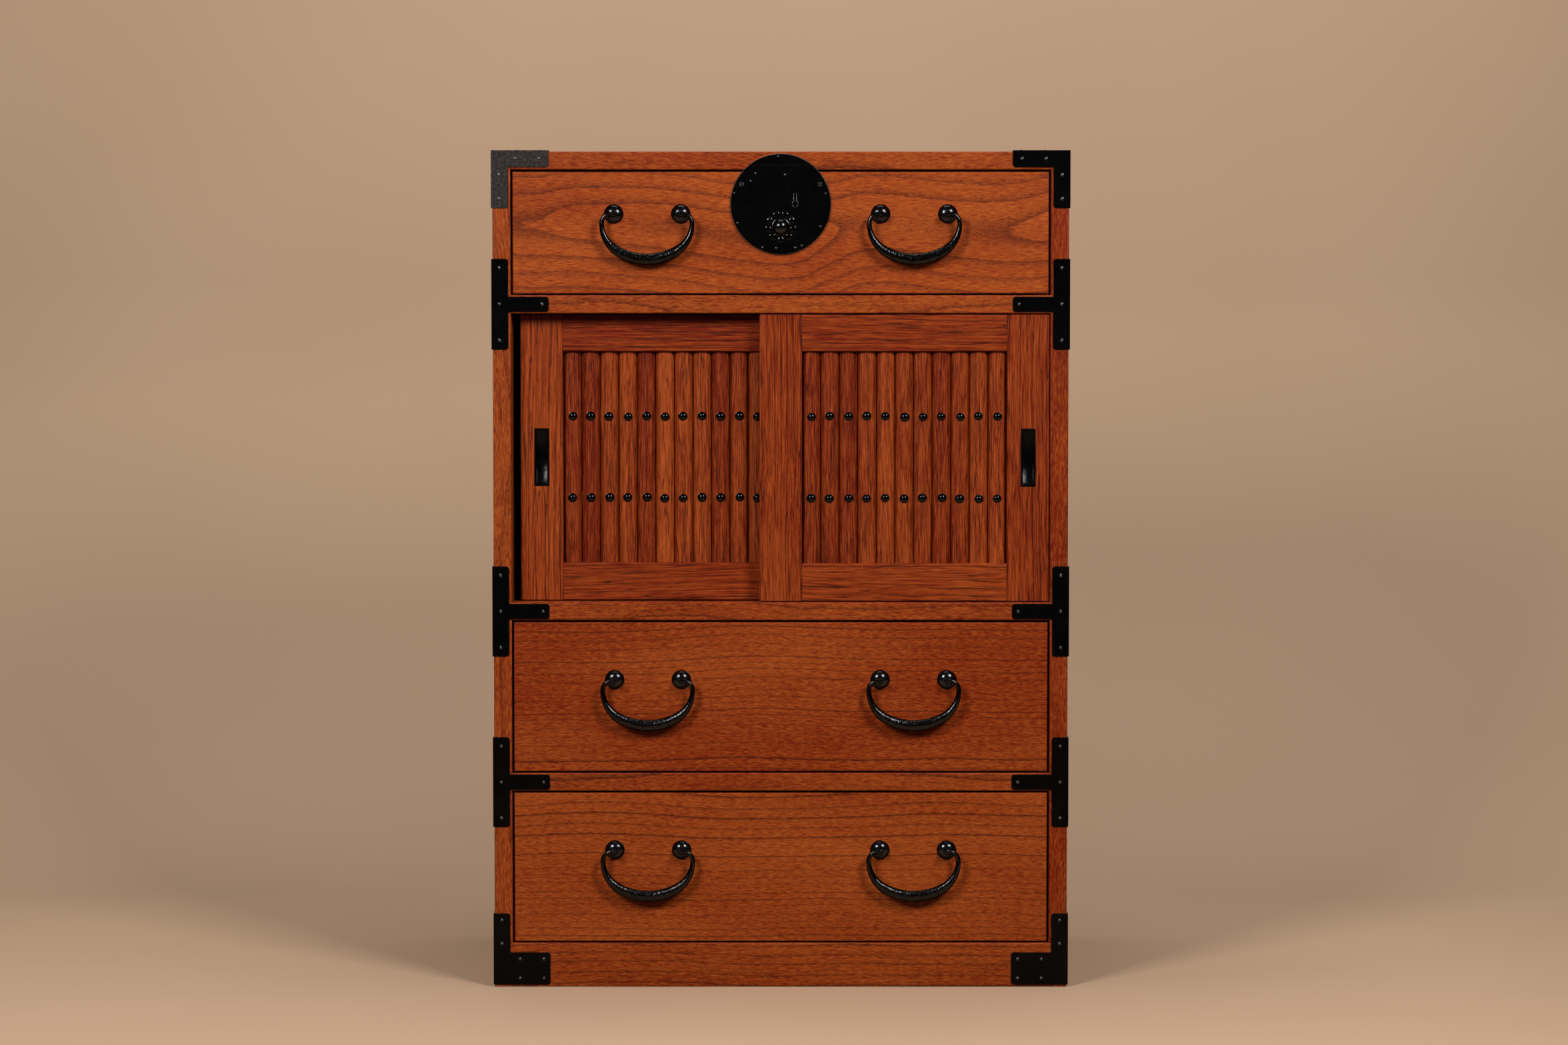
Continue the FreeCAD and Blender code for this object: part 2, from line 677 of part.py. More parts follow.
def make_door(name, left_x, face_y, pull_on_left):
    """A sliding door: a tenoned frame round half-round slats nailed to two battens."""
    right_x = left_x + door_width
    panel_x = (left_x + door_stile, right_x - door_stile)
    middle_y = face_y + door_board / 2

    rail_spans = {
        "top": ((panel_z[1], door_z[1]), (panel_z[1], tongue_z[1])),
        "bottom": ((door_z[0], panel_z[0]), (tongue_z[0], panel_z[0])),
    }
    rails = []
    tenons = []
    for rail_z, rail_tongue in rail_spans.values():
        tenon = block(
            (panel_x[0] - tenon_length, panel_x[1] + tenon_length),
            around(middle_y, tenon_board),
            (rail_z[0] + tenon_shoulder, rail_z[1] - tenon_shoulder),
        )
        tenons.append(tenon)
        rails.append(joined([tongued(panel_x, rail_z, rail_tongue, face_y), tenon]))

    slat_back = face_y + slat_setback + slat_board
    batten_y = (slat_back, face_y + door_board - batten_inset)
    batten_x = (panel_x[0] - batten_tenon, panel_x[1] + batten_tenon)
    battens = [block(batten_x, batten_y, around(z, batten_height)) for z in nail_rows]

    pull_x = left_x + door_stile / 2 if pull_on_left else right_x - door_stile / 2
    stiles = []
    for stile_x in ((left_x, panel_x[0]), (panel_x[1], right_x)):
        stile = ease(tongued(stile_x, door_z, tongue_z, face_y), face_y, ALONG_Z)
        stiles.append(less(stile, tenons + battens + [pull_mortise(pull_x, face_y)]))

    pitch = (panel_x[1] - panel_x[0]) / slat_count
    slats = []
    nails = []
    rings = ((nail_radius, 0.0), (nail_crown * nail_radius, nail_height))
    crown_sink = slat_bulge * (nail_radius / (pitch - slat_gap) * 2) ** 2
    for i in range(slat_count):
        slat_x = around(panel_x[0] + (i + 0.5) * pitch, pitch - slat_gap)
        slats.append(slat(slat_x, face_y))
        for z in nail_rows:
            nail_x = (slat_x[0] + slat_x[1]) / 2
            seat_y = face_y + slat_setback + crown_sink
            head = turned(Vector(nail_x, seat_y, z), OUT_FRONT, nail_sides, rings)
            shank = block(around(nail_x, nail_shank), (seat_y, slat_back + nail_grip), around(z, nail_shank))
            nails.append(joined([head, shank]))
    return {
        f"{name}_stiles": Part.makeCompound(stiles),
        f"{name}_rails": Part.makeCompound([ease(rail, face_y, ALONG_X) for rail in rails]),
        f"{name}_slats": Part.makeCompound(slats),
        f"{name}_battens": Part.makeCompound(battens),
        f"{name}_nails": Part.makeCompound(nails),
        f"{name}_pull": finger_pull(pull_x, face_y),
    }


def flange(x, z, thin_axis):
    """The part of an iron that is folded back over the case, with its two rear corners clipped."""
    y = (front_y - iron_sheet, front_y + iron_wrap)
    leaf = block(x, y, z)
    corners = []
    for edge in leaf.Edges:
        first = edge.Vertexes[0].Point
        last = edge.Vertexes[-1].Point
        at_rear = abs(first.y - y[1]) + abs(last.y - y[1]) < 1e-6
        if at_rear and (last - first).cross(thin_axis).Length < 1e-6:
            corners.append(edge)
    return leaf.makeChamfer(iron_corner, corners)


def iron_nail(place, out):
    """A small nail head on an iron."""
    rings = ((iron_nail_radius, 0.0), (nail_crown * iron_nail_radius, iron_nail_height))
    return turned(place, out, iron_nail_sides, rings)


def make_irons():
    """The irons of the left side and their mirror copies, with all their nails in one group."""
    left = -half_width - iron_sheet
    leg_edge = -inside_x - iron_margin
    leg_middle = (left + leg_edge) / 2
    side_x = (left, -half_width)
    face_y = front_y - iron_sheet
    flange_y = front_y + iron_wrap / 2
    r = iron_corner
    nails = []

    def front_nail(x, z):
        nails.append(iron_nail(Vector(x, face_y, z), OUT_FRONT))

    def side_nail(z):
        nails.append(iron_nail(Vector(left, flange_y, z), OUT_LEFT))

    top = chest_height + iron_sheet
    end_x = left + corner_iron_leg
    end_z = top - corner_iron_leg
    leg_low = top_panel_z + iron_margin
    outline = [
        (left, top, 0), (end_x, top, 0), (end_x, leg_low, r),
        (leg_edge, leg_low, 0), (leg_edge, end_z, r), (left, end_z, 0),
    ]
    top_corner = joined([
        sheet_from(clipped_outline(outline, front_y), iron_sheet),
        flange(side_x, (end_z, top), ALONG_X),
        flange((left, end_x), (chest_height, top), ALONG_Z),
    ])
    for step in (0, iron_nail_pitch):
        front_nail(end_x - iron_nail_inset - step, (leg_low + top) / 2)
        front_nail(leg_middle, end_z + iron_nail_inset + step)
        side_nail(end_z + iron_nail_inset + step)
        nails.append(iron_nail(Vector(end_x - iron_nail_inset - step, flange_y, top), ALONG_Z))

    low = base_iron_lift
    high = low + base_iron_height
    end_x = left + base_iron_leg
    leg_high = base_rail_height - base_iron_margin
    outline = [
        (left, low, 0), (end_x, low, r), (end_x, leg_high, r),
        (leg_edge, leg_high, 0), (leg_edge, high, r), (left, high, 0),
    ]
    bottom_corner = joined([
        sheet_from(clipped_outline(outline, front_y), iron_sheet),
        flange(side_x, (low, high), ALONG_X),
    ])
    for z in (high - base_nail_inset, high - base_nail_inset - iron_nail_pitch):
        front_nail(leg_middle, z)
        side_nail(z)
    for x in (end_x - base_nail_inset, end_x - base_nail_inset - iron_nail_pitch):
        front_nail(x, leg_high - base_nail_inset)
        front_nail(x, low + base_nail_inset)

    tees = []
    end_x = left + tee_iron_leg
    for z in divider_levels:
        middle = z + cross_board / 2
        bar = around(middle, tee_iron_height)
        leg = (z + tee_margin, z + cross_board - tee_margin)
        outline = [
            (left, bar[0], 0), (leg_edge, bar[0], r), (leg_edge, leg[0], 0), (end_x, leg[0], r),
            (end_x, leg[1], r), (leg_edge, leg[1], 0), (leg_edge, bar[1], r), (left, bar[1], 0),
        ]
        tees.append(joined([
            sheet_from(clipped_outline(outline, front_y), iron_sheet),
            flange(side_x, bar, ALONG_X),
        ]))
        front_nail(leg_middle, middle)
        front_nail(end_x - tee_nail_inset, middle)
        for nail_z in (bar[0] + iron_nail_inset, bar[1] - iron_nail_inset):
            front_nail(leg_middle, nail_z)
            side_nail(nail_z)

    tee_group = Part.makeCompound(tees)
    return {
        "corner_iron_top_left": top_corner,
        "corner_iron_top_right": mirrored(top_corner),
        "corner_iron_bottom_left": bottom_corner,
        "corner_iron_bottom_right": mirrored(bottom_corner),
        "tee_irons_left": tee_group,
        "tee_irons_right": mirrored(tee_group),
        "iron_nails": Part.makeCompound(nails + [mirrored(nail) for nail in nails]),
    }


def make_chest():
    """Every piece of the chest by name."""
    pieces = make_case()
    pieces.update(make_irons())
    pieces.update(make_lock())
    top_floor = upper_divider_z + cross_board
    middle_floor = lower_divider_z + cross_board
    pieces.update(make_drawer("top_drawer", top_floor, top_opening, top_handle_drop, lock_front_cuts()))
    pieces.update(make_drawer("middle_drawer", middle_floor, middle_opening, deep_handle_drop))
    pieces.update(make_drawer("lower_drawer", base_rail_height, lower_opening, deep_handle_drop))
    left_door_x = -inside_x + door_side_gap + left_door_ajar
    right_door_x = inside_x - door_side_gap - door_width
    pieces.update(make_door("left_door", left_door_x, rear_door_y, True))
    pieces.update(make_door("right_door", right_door_x, front_door_y, False))
    return pieces


chest = make_chest()
os.makedirs("parts", exist_ok=True)
for name, shape in chest.items():
    shape.exportStep(f"parts/{name}.step")
print(len(chest), "pieces,", sum(len(shape.Solids) for shape in chest.values()), "solids")
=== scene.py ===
# %% [markdown]
# # A merchant chest in lacquered elm and black iron
#
# The chest is a standing case of boards, bound at its corners and rails with black iron. It has a lockable
# drawer at the top, a cupboard with two sliding slatted doors, and two deep drawers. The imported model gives
# every piece its place in metres, so this lesson only dresses it: nothing is fitted by eye.

import json
import math
import random

import bmesh
import bpy
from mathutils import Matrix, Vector

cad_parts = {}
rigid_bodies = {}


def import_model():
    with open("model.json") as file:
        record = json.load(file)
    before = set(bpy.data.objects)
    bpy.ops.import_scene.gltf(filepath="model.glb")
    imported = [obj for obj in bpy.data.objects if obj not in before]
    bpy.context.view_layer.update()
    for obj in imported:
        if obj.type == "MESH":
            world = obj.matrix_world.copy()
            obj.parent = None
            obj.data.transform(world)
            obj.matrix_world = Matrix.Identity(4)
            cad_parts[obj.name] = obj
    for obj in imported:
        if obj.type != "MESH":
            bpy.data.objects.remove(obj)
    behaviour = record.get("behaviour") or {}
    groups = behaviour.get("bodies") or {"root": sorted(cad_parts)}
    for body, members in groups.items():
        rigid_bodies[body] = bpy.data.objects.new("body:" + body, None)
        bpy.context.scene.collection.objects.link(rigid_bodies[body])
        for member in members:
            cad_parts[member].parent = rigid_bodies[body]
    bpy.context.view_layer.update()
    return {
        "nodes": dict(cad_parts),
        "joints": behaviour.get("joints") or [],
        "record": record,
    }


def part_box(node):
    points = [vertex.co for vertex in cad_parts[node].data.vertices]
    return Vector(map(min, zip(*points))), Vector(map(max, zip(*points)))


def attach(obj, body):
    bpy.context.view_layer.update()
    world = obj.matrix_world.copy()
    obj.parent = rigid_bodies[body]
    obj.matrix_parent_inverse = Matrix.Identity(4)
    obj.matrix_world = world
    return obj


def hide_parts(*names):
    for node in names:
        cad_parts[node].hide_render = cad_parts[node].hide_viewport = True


for leftover in list(bpy.data.objects):
    bpy.data.objects.remove(leftover)
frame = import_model()
MM = 0.001

# %% [markdown]
# ## Colours and nodes
#
# Colours are written as the sRGB hex codes that a colour picker shows, but the shader works in linear light,
# so one function turns one into the other. A second adds a node with its settings, values and links.

# %% Colour and node helpers
def linear(code):
    """Turns an sRGB hex code into a linear colour."""
    parts = [int(code[i:i + 2], 16) / 255 for i in (1, 3, 5)]
    return (*[c / 12.92 if c <= 0.04045 else ((c + 0.055) / 1.055) ** 2.4 for c in parts], 1.0)


FAMILIES = ("ShaderNode", "GeometryNode", "FunctionNode", "")


def add(tree, kind, inputs=(), **settings):
    """Adds a node of a kind, named without its family and with its operation, or takes one that is there.
    Inputs, in order or by name, are values, sockets to link, or nodes whose first output is linked."""
    node = kind
    if isinstance(kind, str):
        kind, *operation = kind.split()
        known = [family + kind for family in FAMILIES if hasattr(bpy.types, family + kind)]
        node = tree.nodes.new(known[0])
        if operation:
            node.operation = operation[0]
    for name, value in settings.items():
        setattr(node, name, value)
    for key, value in inputs.items() if isinstance(inputs, dict) else enumerate(inputs):
        source = value.outputs[0] if isinstance(value, bpy.types.Node) else value
        if isinstance(source, bpy.types.NodeSocket):
            tree.links.new(source, node.inputs[key])
        else:
            node.inputs[key].default_value = source
    return node


def new_material(name):
    """A new material, its node tree and its shader."""
    material = bpy.data.materials.new(name)
    material.use_nodes = True
    return material, material.node_tree, material.node_tree.nodes["Principled BSDF"]


print("a warm brown", [round(v, 3) for v in linear("#96441e")])

# %% [markdown]
# ## Elm, as a whole log
#
# The case and the fronts are elm under a thin red-brown lacquer. Its figure comes from how a board was cut:
# close to the pith the growth rings run out of the face in long pointed flames, further out they are nearly
# straight lines. A pattern could be painted on each front, but here the material is a whole log: rings round
# a wandering pith, pores and fibres. Each board only says where in the log it was sawn, so that faces, edges
# and ends agree as in real wood.

# %% Places in the log
# A float curve runs from 0 to 1, which stands for this many millimetres, half to each side.
CROOK_SPAN = 200.0


def streaks(t, place, long_mm, wide_mm, detail=2.0, roughness=0.5):
    """A noise with spots of this length along the grain and this width across it."""
    along, across = 1 / (long_mm * MM), 1 / (wide_mm * MM)
    scaled = add(t, "VectorMath MULTIPLY", [place, (along, across, across)])
    spots = {"Vector": scaled, "Scale": 1.0, "Detail": detail, "Roughness": roughness}
    return add(t, "TexNoise", spots)


def shaken(t, place, noise, reach_mm):
    """Moves a place in the log sideways by a noise."""
    off = add(t, "VectorMath SUBTRACT", [noise.outputs["Color"], (0.5, 0.5, 0.5)])
    reach = (0.0, reach_mm * MM, reach_mm * MM)
    return add(t, "VectorMath MULTIPLY_ADD", [off, reach, place])


def crooked(t, log, place, crook):
    """Moves a place by a crooked pith's path: millimetres along it, across and behind the face."""
    start, end = crook[0][0] * MM, crook[-1][0] * MM
    reach = add(t, "MapRange", [add(t, "SeparateXYZ", [log]), start, end])
    shift = add(t, "CombineXYZ")
    for way, sign in ((1, -1.0), (2, 1.0)):
        path = add(t, "FloatCurve", {"Value": reach})
        curve = path.mapping.curves[0]
        for point in crook[1:-1]:
            curve.points.new((point[0] * MM - start) / (end - start), 0.5 + point[way] / CROOK_SPAN)
        for i, at in ((0, 0.0), (-1, 1.0)):
            curve.points[i].location = (at, 0.5 + crook[i][way] / CROOK_SPAN)
        path.mapping.update()
        most = sign * CROOK_SPAN / 2 * MM
        add(t, shift, {way: add(t, "MapRange", {0: path, 3: -most, 4: most})})
    return add(t, "VectorMath ADD", [place, shift])


# %% The log material
# Sizes along and across the log, in millimetres, of the ripples in the rings and of the drift in colour.
RIPPLE_MM = (1000 / 9, 1000 / 42)
DRIFT_MM = (1000 / 3, 1000 / 13)
# How often, to a metre, the pith wanders and good years turn to lean ones.
WANDERS = 2.6
LEAN_RUNS = 38.0
# The share of a ring in which its dark line sets in, and the part of the noise in which a pore opens.
LINE_START = 0.06
PORE_FROM, PORE_TO = 0.52, 0.66
# Half the width of a dark streak in its noise, and the depth of pores and rings under the lacquer.
STREAK_HALF = 0.035
RELIEF_MM = 0.2
# The tone of plain wood, from 0, pale, to 1, deep, and what the drift adds.
TONE, TONE_DRIFT = 0.34, 0.6


def log_wood(
    name, pale, deep, line, ring_mm, contrast, order=None, crook=None, wander_mm=28.0, ripple_mm=6.0,
    band=5.0, feather=0.2, lean_years=0.8, first=0.0, least=0.25, pores=0.75, pore_mm=(5.0, 0.9),
    fibre_mm=(9.0, 0.9), fleck=3.2, streak=0.0, streak_mm=(250.0, 6.5), tone_spread=0.35, rough=0.46,
    coat=0.03,
):
    """Wood as a solid log: rings, pores and fibres in the place that the attribute log gives, or in Object
    space with its axes in this order. band is how narrow the dark start of a ring is."""
    material, t, shader = new_material(name)
    if order is None:
        log = add(t, "Attribute", attribute_name="log").outputs["Vector"]
    else:
        xyz = add(t, "SeparateXYZ", [add(t, "TexCoord").outputs["Object"]]).outputs
        log = add(t, "CombineXYZ", {i: xyz["xyz".index(c)] for i, c in enumerate(order)}).outputs[0]
    board = add(t, "Attribute", attribute_name="board").outputs["Fac"]

    # The pith wanders slowly, and the rings ripple by a few millimetres on the way.
    wander = add(t, "TexNoise", {"Vector": log, "Scale": WANDERS, "Detail": 1.0})
    grain = shaken(t, log, wander, 2 * wander_mm)
    grain = shaken(t, grain, streaks(t, log, *RIPPLE_MM, 4.0, 0.62), ripple_mm)
    rings = crooked(t, log, grain, crook) if crook else grain
    across = add(t, "VectorMath MULTIPLY", [rings, (0.0, 1.0, 1.0)])
    radius = add(t, "VectorMath LENGTH", [across]).outputs["Value"]

    # Good and lean years: rings differ in width and in how much they are marked. Fibres feather them.
    fibre = streaks(t, grain, *fibre_mm, 3.0, 0.65)
    years = add(t, "TexNoise", {"W": radius, "Scale": LEAN_RUNS, "Detail": 1.0}, noise_dimensions="1D")
    count = add(t, "Math DIVIDE", [radius, ring_mm * MM])
    for source, reach in ((years, lean_years), (fibre, feather)):
        count = add(t, "Math MULTIPLY_ADD", [source, reach, count])
    count = add(t, "Math ADD", [count, first])
    share, year = (add(t, "Math " + way, [count]) for way in ("FRACT", "FLOOR"))
    mark = add(t, "TexWhiteNoise", {"W": year}, noise_dimensions="1D").outputs["Value"]
    mark = add(t, "MapRange", {0: mark, 3: least, 4: 1.0})
    early = add(t, "Math SUBTRACT", [1.0, share])
    early = add(t, "Math POWER", [early, band])
    edge = add(t, "MapRange", {0: share, 2: LINE_START}, interpolation_type="SMOOTHSTEP")
    for factor in (edge, mark):
        early = add(t, "Math MULTIPLY", [early, factor])

    # Elm's pores are 0.2 mm wide, too fine to show, so they are drawn about 1 mm wide and 5 to 14 mm long.
    pore = add(t, "MapRange", [streaks(t, grain, *pore_mm), PORE_FROM, PORE_TO])
    near = add(t, "MapRange", {0: early, 2: 0.3, 3: 0.35, 4: 1.0})
    for factor in (near, pores):
        pore = add(t, "Math MULTIPLY", [pore, factor])

    # A slow drift between paler and redder wood, and thin dark streaks: the lines where a stretched noise
    # crosses its own middle, broken by the fibres.
    tone = add(t, "Math MULTIPLY_ADD", [fibre, fleck, TONE - 0.5 * fleck])
    drift = streaks(t, log, *DRIFT_MM)
    tone = add(t, "Math MULTIPLY_ADD", [drift, TONE_DRIFT, tone])
    own = add(t, "Math MULTIPLY_ADD", [board, tone_spread, -0.5 * tone_spread])
    tone = add(t, "Math ADD", [tone, own], use_clamp=True)
    dark = add(t, "Math SUBTRACT", [streaks(t, grain, *streak_mm, 1.0), 0.5])
    dark = add(t, "Math ABSOLUTE", [dark])
    dark = add(t, "MapRange", {0: dark, 2: STREAK_HALF, 3: streak, 4: 0.0})
    broken = add(t, "MapRange", [fibre, 0.25, 0.55, 0.2, 1.0])
    dark = add(t, "Math MULTIPLY", [dark, broken])
    marked = add(t, "Math MULTIPLY", [early, contrast], use_clamp=True)
    colour = add(t, "Mix", {0: tone, 6: linear(pale), 7: linear(deep)}, data_type="RGBA").outputs[2]
    for part in (dark, marked, pore):
        colour = add(t, "Mix", {0: part, 6: colour, 7: linear(line)}, data_type="RGBA").outputs[2]

    # The lacquer lies thin: it fills most pores, so the bump is shallow and the gloss a little uneven.
    depth = add(t, "Math MULTIPLY_ADD", [early, 0.5, pore])
    relief = {"Height": depth, "Strength": 0.3, "Distance": RELIEF_MM * MM}
    add(t, shader, {
        "Base Color": colour,
        "Roughness": add(t, "MapRange", [fibre, 0.3, 0.7, rough - 0.05, rough + 0.07]),
        "Normal": add(t, "Bump", relief, invert=True),
        "IOR": 1.5, "Specular IOR Level": 0.08, "Coat Weight": coat, "Coat Roughness": 0.3,
    })
    print("wood", name, "nodes", len(t.nodes))
    return material


# %% Four cuts of elm
# Lacquered elm: warm orange-brown, satin, with thin dark ring lines and short open pores.
front_elm = log_wood(
    "lacquered_elm", "#bc6024", "#741c03", "#380d03", 12.0, 1.2, wander_mm=20.0, ripple_mm=4.0, band=9.0,
    pores=0.7, pore_mm=(6.0, 1.0), fibre_mm=(9.0, 1.1), fleck=2.0, streak=0.5, streak_mm=(260.0, 6.0),
    tone_spread=0.8,
)
# The same elm sawn towards the pith, for the deep drawers: near-straight lines, closer at the bottom.
quarter_elm = log_wood(
    "quarter_sawn_elm", "#bc6024", "#741c03", "#300a03", 8.0, 1.7, wander_mm=14.0, ripple_mm=2.5, band=10.0,
    lean_years=1.2, least=0.1, pores=0.7, pore_mm=(6.0, 1.0), fibre_mm=(8.0, 1.1), fleck=2.0,
    tone_spread=0.8,
)
# Flat-sawn elm of the top drawer, from a crooked trunk and cut close to its pith: the face enters and leaves
# the inner rings, so they end in long pointed flames. The path was read off the figure of the front.
PITH = (
    (-325, 10, 31.5), (-314, 10, 30), (-292, 10, 29.5), (-274, 12, 26.8), (-256, 13, 23.6), (-216, 12, 20.6),
    (-135, 7, 14.5), (-60, -4, 14), (14, -9, 14), (65, 3, 29), (109, 14, 34), (200, 6, 33), (279, 2, 30),
    (325, 8, 24),
)
flame_elm = log_wood(
    "flat_sawn_elm", "#c46527", "#761d03", "#44150a", 17.0, 0.8, crook=PITH, wander_mm=0.0, ripple_mm=2.5,
    feather=0.05, lean_years=0.0, first=0.235, least=0.7, fibre_mm=(11.0, 0.9), fleck=2.0,
)
# Close-grained elm of the doors: browner and streaked, because slow-grown wood was kept for the thin pieces.
door_elm = log_wood(
    "close_grained_elm", "#b65520", "#6b1502", "#2a0903", 8.0, 1.3, wander_mm=10.0, ripple_mm=3.5, band=9.0,
    feather=0.3, pores=0.8, pore_mm=(14.0, 0.8), fibre_mm=(45.0, 1.2), fleck=2.2, streak=0.9,
    streak_mm=(200.0, 5.0),
)

# %% [markdown]
# ## Boards
#
# Planed boards never have razor edges: each arris is broken with a stroke of the plane, and that narrow
# round catches the light along a drawer front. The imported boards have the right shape, so a copy is merged
# into whole faces and given a small Bevel, whose own faces are shaded smooth while the broad ones stay flat.
# Then each board is sawn: its points get their place in the log.

# %% Meshes and pieces
MERGE = 0.005


def packed_shape(node):
    """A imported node's mesh to work on, with points at one place merged."""
    shape = bmesh.new()
    shape.from_mesh(frame["nodes"][node].data)
    bmesh.ops.remove_doubles(shape, verts=shape.verts, dist=MERGE * MM)
    return shape


def to_mesh(name, shape):
    """Writes a shape to a new mesh."""
    mesh = bpy.data.meshes.new(name)
    shape.to_mesh(mesh)
    shape.free()
    return mesh


def new_piece(name, data=None):
    """Puts a mesh, a lamp or a camera in the scene. Without data, the mesh is empty."""
    piece = bpy.data.objects.new(name, data or bpy.data.meshes.new(name))
    bpy.context.scene.collection.objects.link(piece)
    return piece


def settle(piece):
    """Turns a piece and its modifiers into a plain mesh, as the exported part needs."""
    bpy.context.view_layer.update()
    graph = bpy.context.evaluated_depsgraph_get()
    mesh = bpy.data.meshes.new_from_object(
        piece.evaluated_get(graph), preserve_all_data_layers=True, depsgraph=graph
    )
    piece.modifiers.clear()
    piece.data = mesh
    mesh.name = piece.name
    return piece


def smooth_by_angle(piece, angle):
    """Shades curved faces smooth and keeps edges over the angle, in degrees, sharp."""
    piece.data.shade_smooth()
    piece.data.set_sharp_from_angle(angle=math.radians(angle))
    return piece


def write_points(mesh, name, values, kind="FLOAT"):
    """Writes an attribute of a mesh's points, as a flat list."""
    field = "vector" if kind == "FLOAT_VECTOR" else "value"
    mesh.attributes.new(name, kind, "POINT").data.foreach_set(field, values)


# %% Copies with rounded edges
# The thickness of a sheet in millimetres. A convex edge that runs through it is a cut corner.
SHEET = 1.5
# Faces that meet at less than the first angle, in degrees, are one. Edges over the second one are rounded.
ONE_FACE, EDGE_FROM = 0.6, 25.0


def rounded_copy(node, edge_mm, finish, curved=0.0, corner_mm=0.0, edge_finish=None):
    """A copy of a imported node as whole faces, with its edges rounded. curved is the angle, in degrees, up to
    which a curved shape is shaded smooth. The cut corners of a sheet can be rounded more, and the rounded
    edges can have a finish of their own."""
    shape = packed_shape(node)
    limit = math.radians(ONE_FACE)
    bmesh.ops.dissolve_limit(shape, angle_limit=limit, verts=shape.verts, edges=shape.edges)
    if corner_mm:
        short = [e for e in shape.edges if e.is_convex and e.calc_length() < SHEET * 1.2 * MM]
        free = [e for e in short if abs(e.verts[0].co.y - e.verts[1].co.y) > 0.9 * e.calc_length()]
        bmesh.ops.bevel(shape, geom=free, offset=corner_mm * MM, segments=3, profile=0.5, affect="EDGES")
        print(node, "corner edges rounded", len(free))
    mesh = to_mesh(node + "_dressed", shape)
    mesh.materials.clear()
    for skin in (finish, edge_finish or finish):
        mesh.materials.append(skin)
    piece = new_piece(node + "_dressed", mesh)
    bevel = piece.modifiers.new("Broken edges", "BEVEL")
    bevel.width = edge_mm * MM
    bevel.segments = 2
    bevel.limit_method = "ANGLE"
    bevel.angle_limit = math.radians(EDGE_FROM)
    bevel.use_clamp_overlap = False
    bevel.material = 1
    settle(piece)
    for face in piece.data.polygons:
        face.use_smooth = face.material_index == 1
        face.material_index = face.material_index if edge_finish else 0
    if not edge_finish:
        piece.data.materials.pop(index=1)
    if curved:
        smooth_by_angle(piece, curved)
    return piece


# %% Boards from the log
def loose_parts(mesh):
    """Numbers each vertex by the loose part, here a board, that it belongs to."""
    parent = list(range(len(mesh.vertices)))

    def root(i):
        while parent[i] != i:
            parent[i] = parent[parent[i]]
            i = parent[i]
        return i

    for edge in mesh.edges:
        a, b = (root(v) for v in edge.vertices)
        parent[max(a, b)] = min(a, b)
    roots = [root(i) for i in range(len(mesh.vertices))]
    number = {r: k for k, r in enumerate(sorted(set(roots)))}
    return [number[r] for r in roots]


def saw(piece, order, at, tones, step=(0.83, 0.0, 0.0), lean=0.0):
    """Writes where in the log each board was sawn. order names the axes along, across and through it, and
    lean is how far the saw went off the pith, in metres for each metre."""
    mesh = piece.data
    part = loose_parts(mesh)
    places = [0.0] * (3 * len(part))
    for board in sorted(set(part)):
        own = [i for i, k in enumerate(part) if k == board]
        for way, axis in enumerate("xyz".index(c) for c in order):
            values = [mesh.vertices[i].co[axis] for i in own]
            middle = (min(values) + max(values)) / 2
            for i, value in zip(own, values):
                places[3 * i + way] = value - middle + at[way] + board * step[way]
        for i in own:
            places[3 * i + 2] += lean * (places[3 * i] - at[0] - board * step[0])
    write_points(mesh, "log", places, "FLOAT_VECTOR")
    write_points(mesh, "board", [tones[k % len(tones)] for k in part])
    return max(part) + 1


# %% Case, drawer fronts and door frames
# For each node: the axes along, across and through its grain, where in the log its middle lay, in metres,
# and the tone of its boards, from 0, pale, to 1, deep.
CASE_BOARDS = {
    # The left side is given a paler tone than the right: painted sheen for the light that falls on that side.
    "side_panel_left": ("zyx", (0.30, 0.030, 0.075), (0.48,)),
    "side_panel_right": ("zyx", (1.90, -0.020, 0.085), (0.74,)),
    "top_panel": ("xyz", (3.20, 0.010, 0.060), (0.55,)),
    "upper_divider": ("xyz", (4.40, 0.110, 0.030), (0.45,)),
    "middle_divider": ("xyz", (5.30, 0.120, 0.050), (0.54,)),
    "lower_divider": ("xyz", (6.20, 0.140, 0.020), (0.54,)),
    "base_rail": ("xzy", (7.10, 0.090, 0.040), (0.5,)),
    "top_drawer_front": ("xzy", (0.00, 0.000, 0.010), (0.44,)),
    "middle_drawer_front": ("xzy", (9.40, 0.300, 0.200), (0.63,)),
    "lower_drawer_front": ("xzy", (10.60, -0.130, 0.100), (0.44,)),
}
DOOR_BOARDS = {
    "left_door_stiles": ("zxy", (0.50, 0.090, 0.030), (0.3, 0.6)),
    "right_door_stiles": ("zxy", (2.70, 0.110, 0.020), (0.6, 0.4)),
    "left_door_rails": ("xzy", (5.00, 0.060, 0.030), (0.85, 0.5)),
    "right_door_rails": ("xzy", (7.00, 0.070, 0.040), (0.5, 0.35)),
}
LEAN = {"side_panel_left": 0.03, "side_panel_right": -0.03, "top_panel": 0.02}
FRONT_WOOD = {
    "top_drawer_front": flame_elm, "middle_drawer_front": quarter_elm, "lower_drawer_front": quarter_elm,
}
BOARD_EDGE = 0.5
body_of = {
    node: body for body, nodes in frame["record"]["behaviour"]["bodies"].items() for node in nodes
}


def stand_for(piece, node):
    """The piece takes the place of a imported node, and moves with its body."""
    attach(piece, body_of[node])
    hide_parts(node)
    print(piece.name, "faces", len(piece.data.polygons))


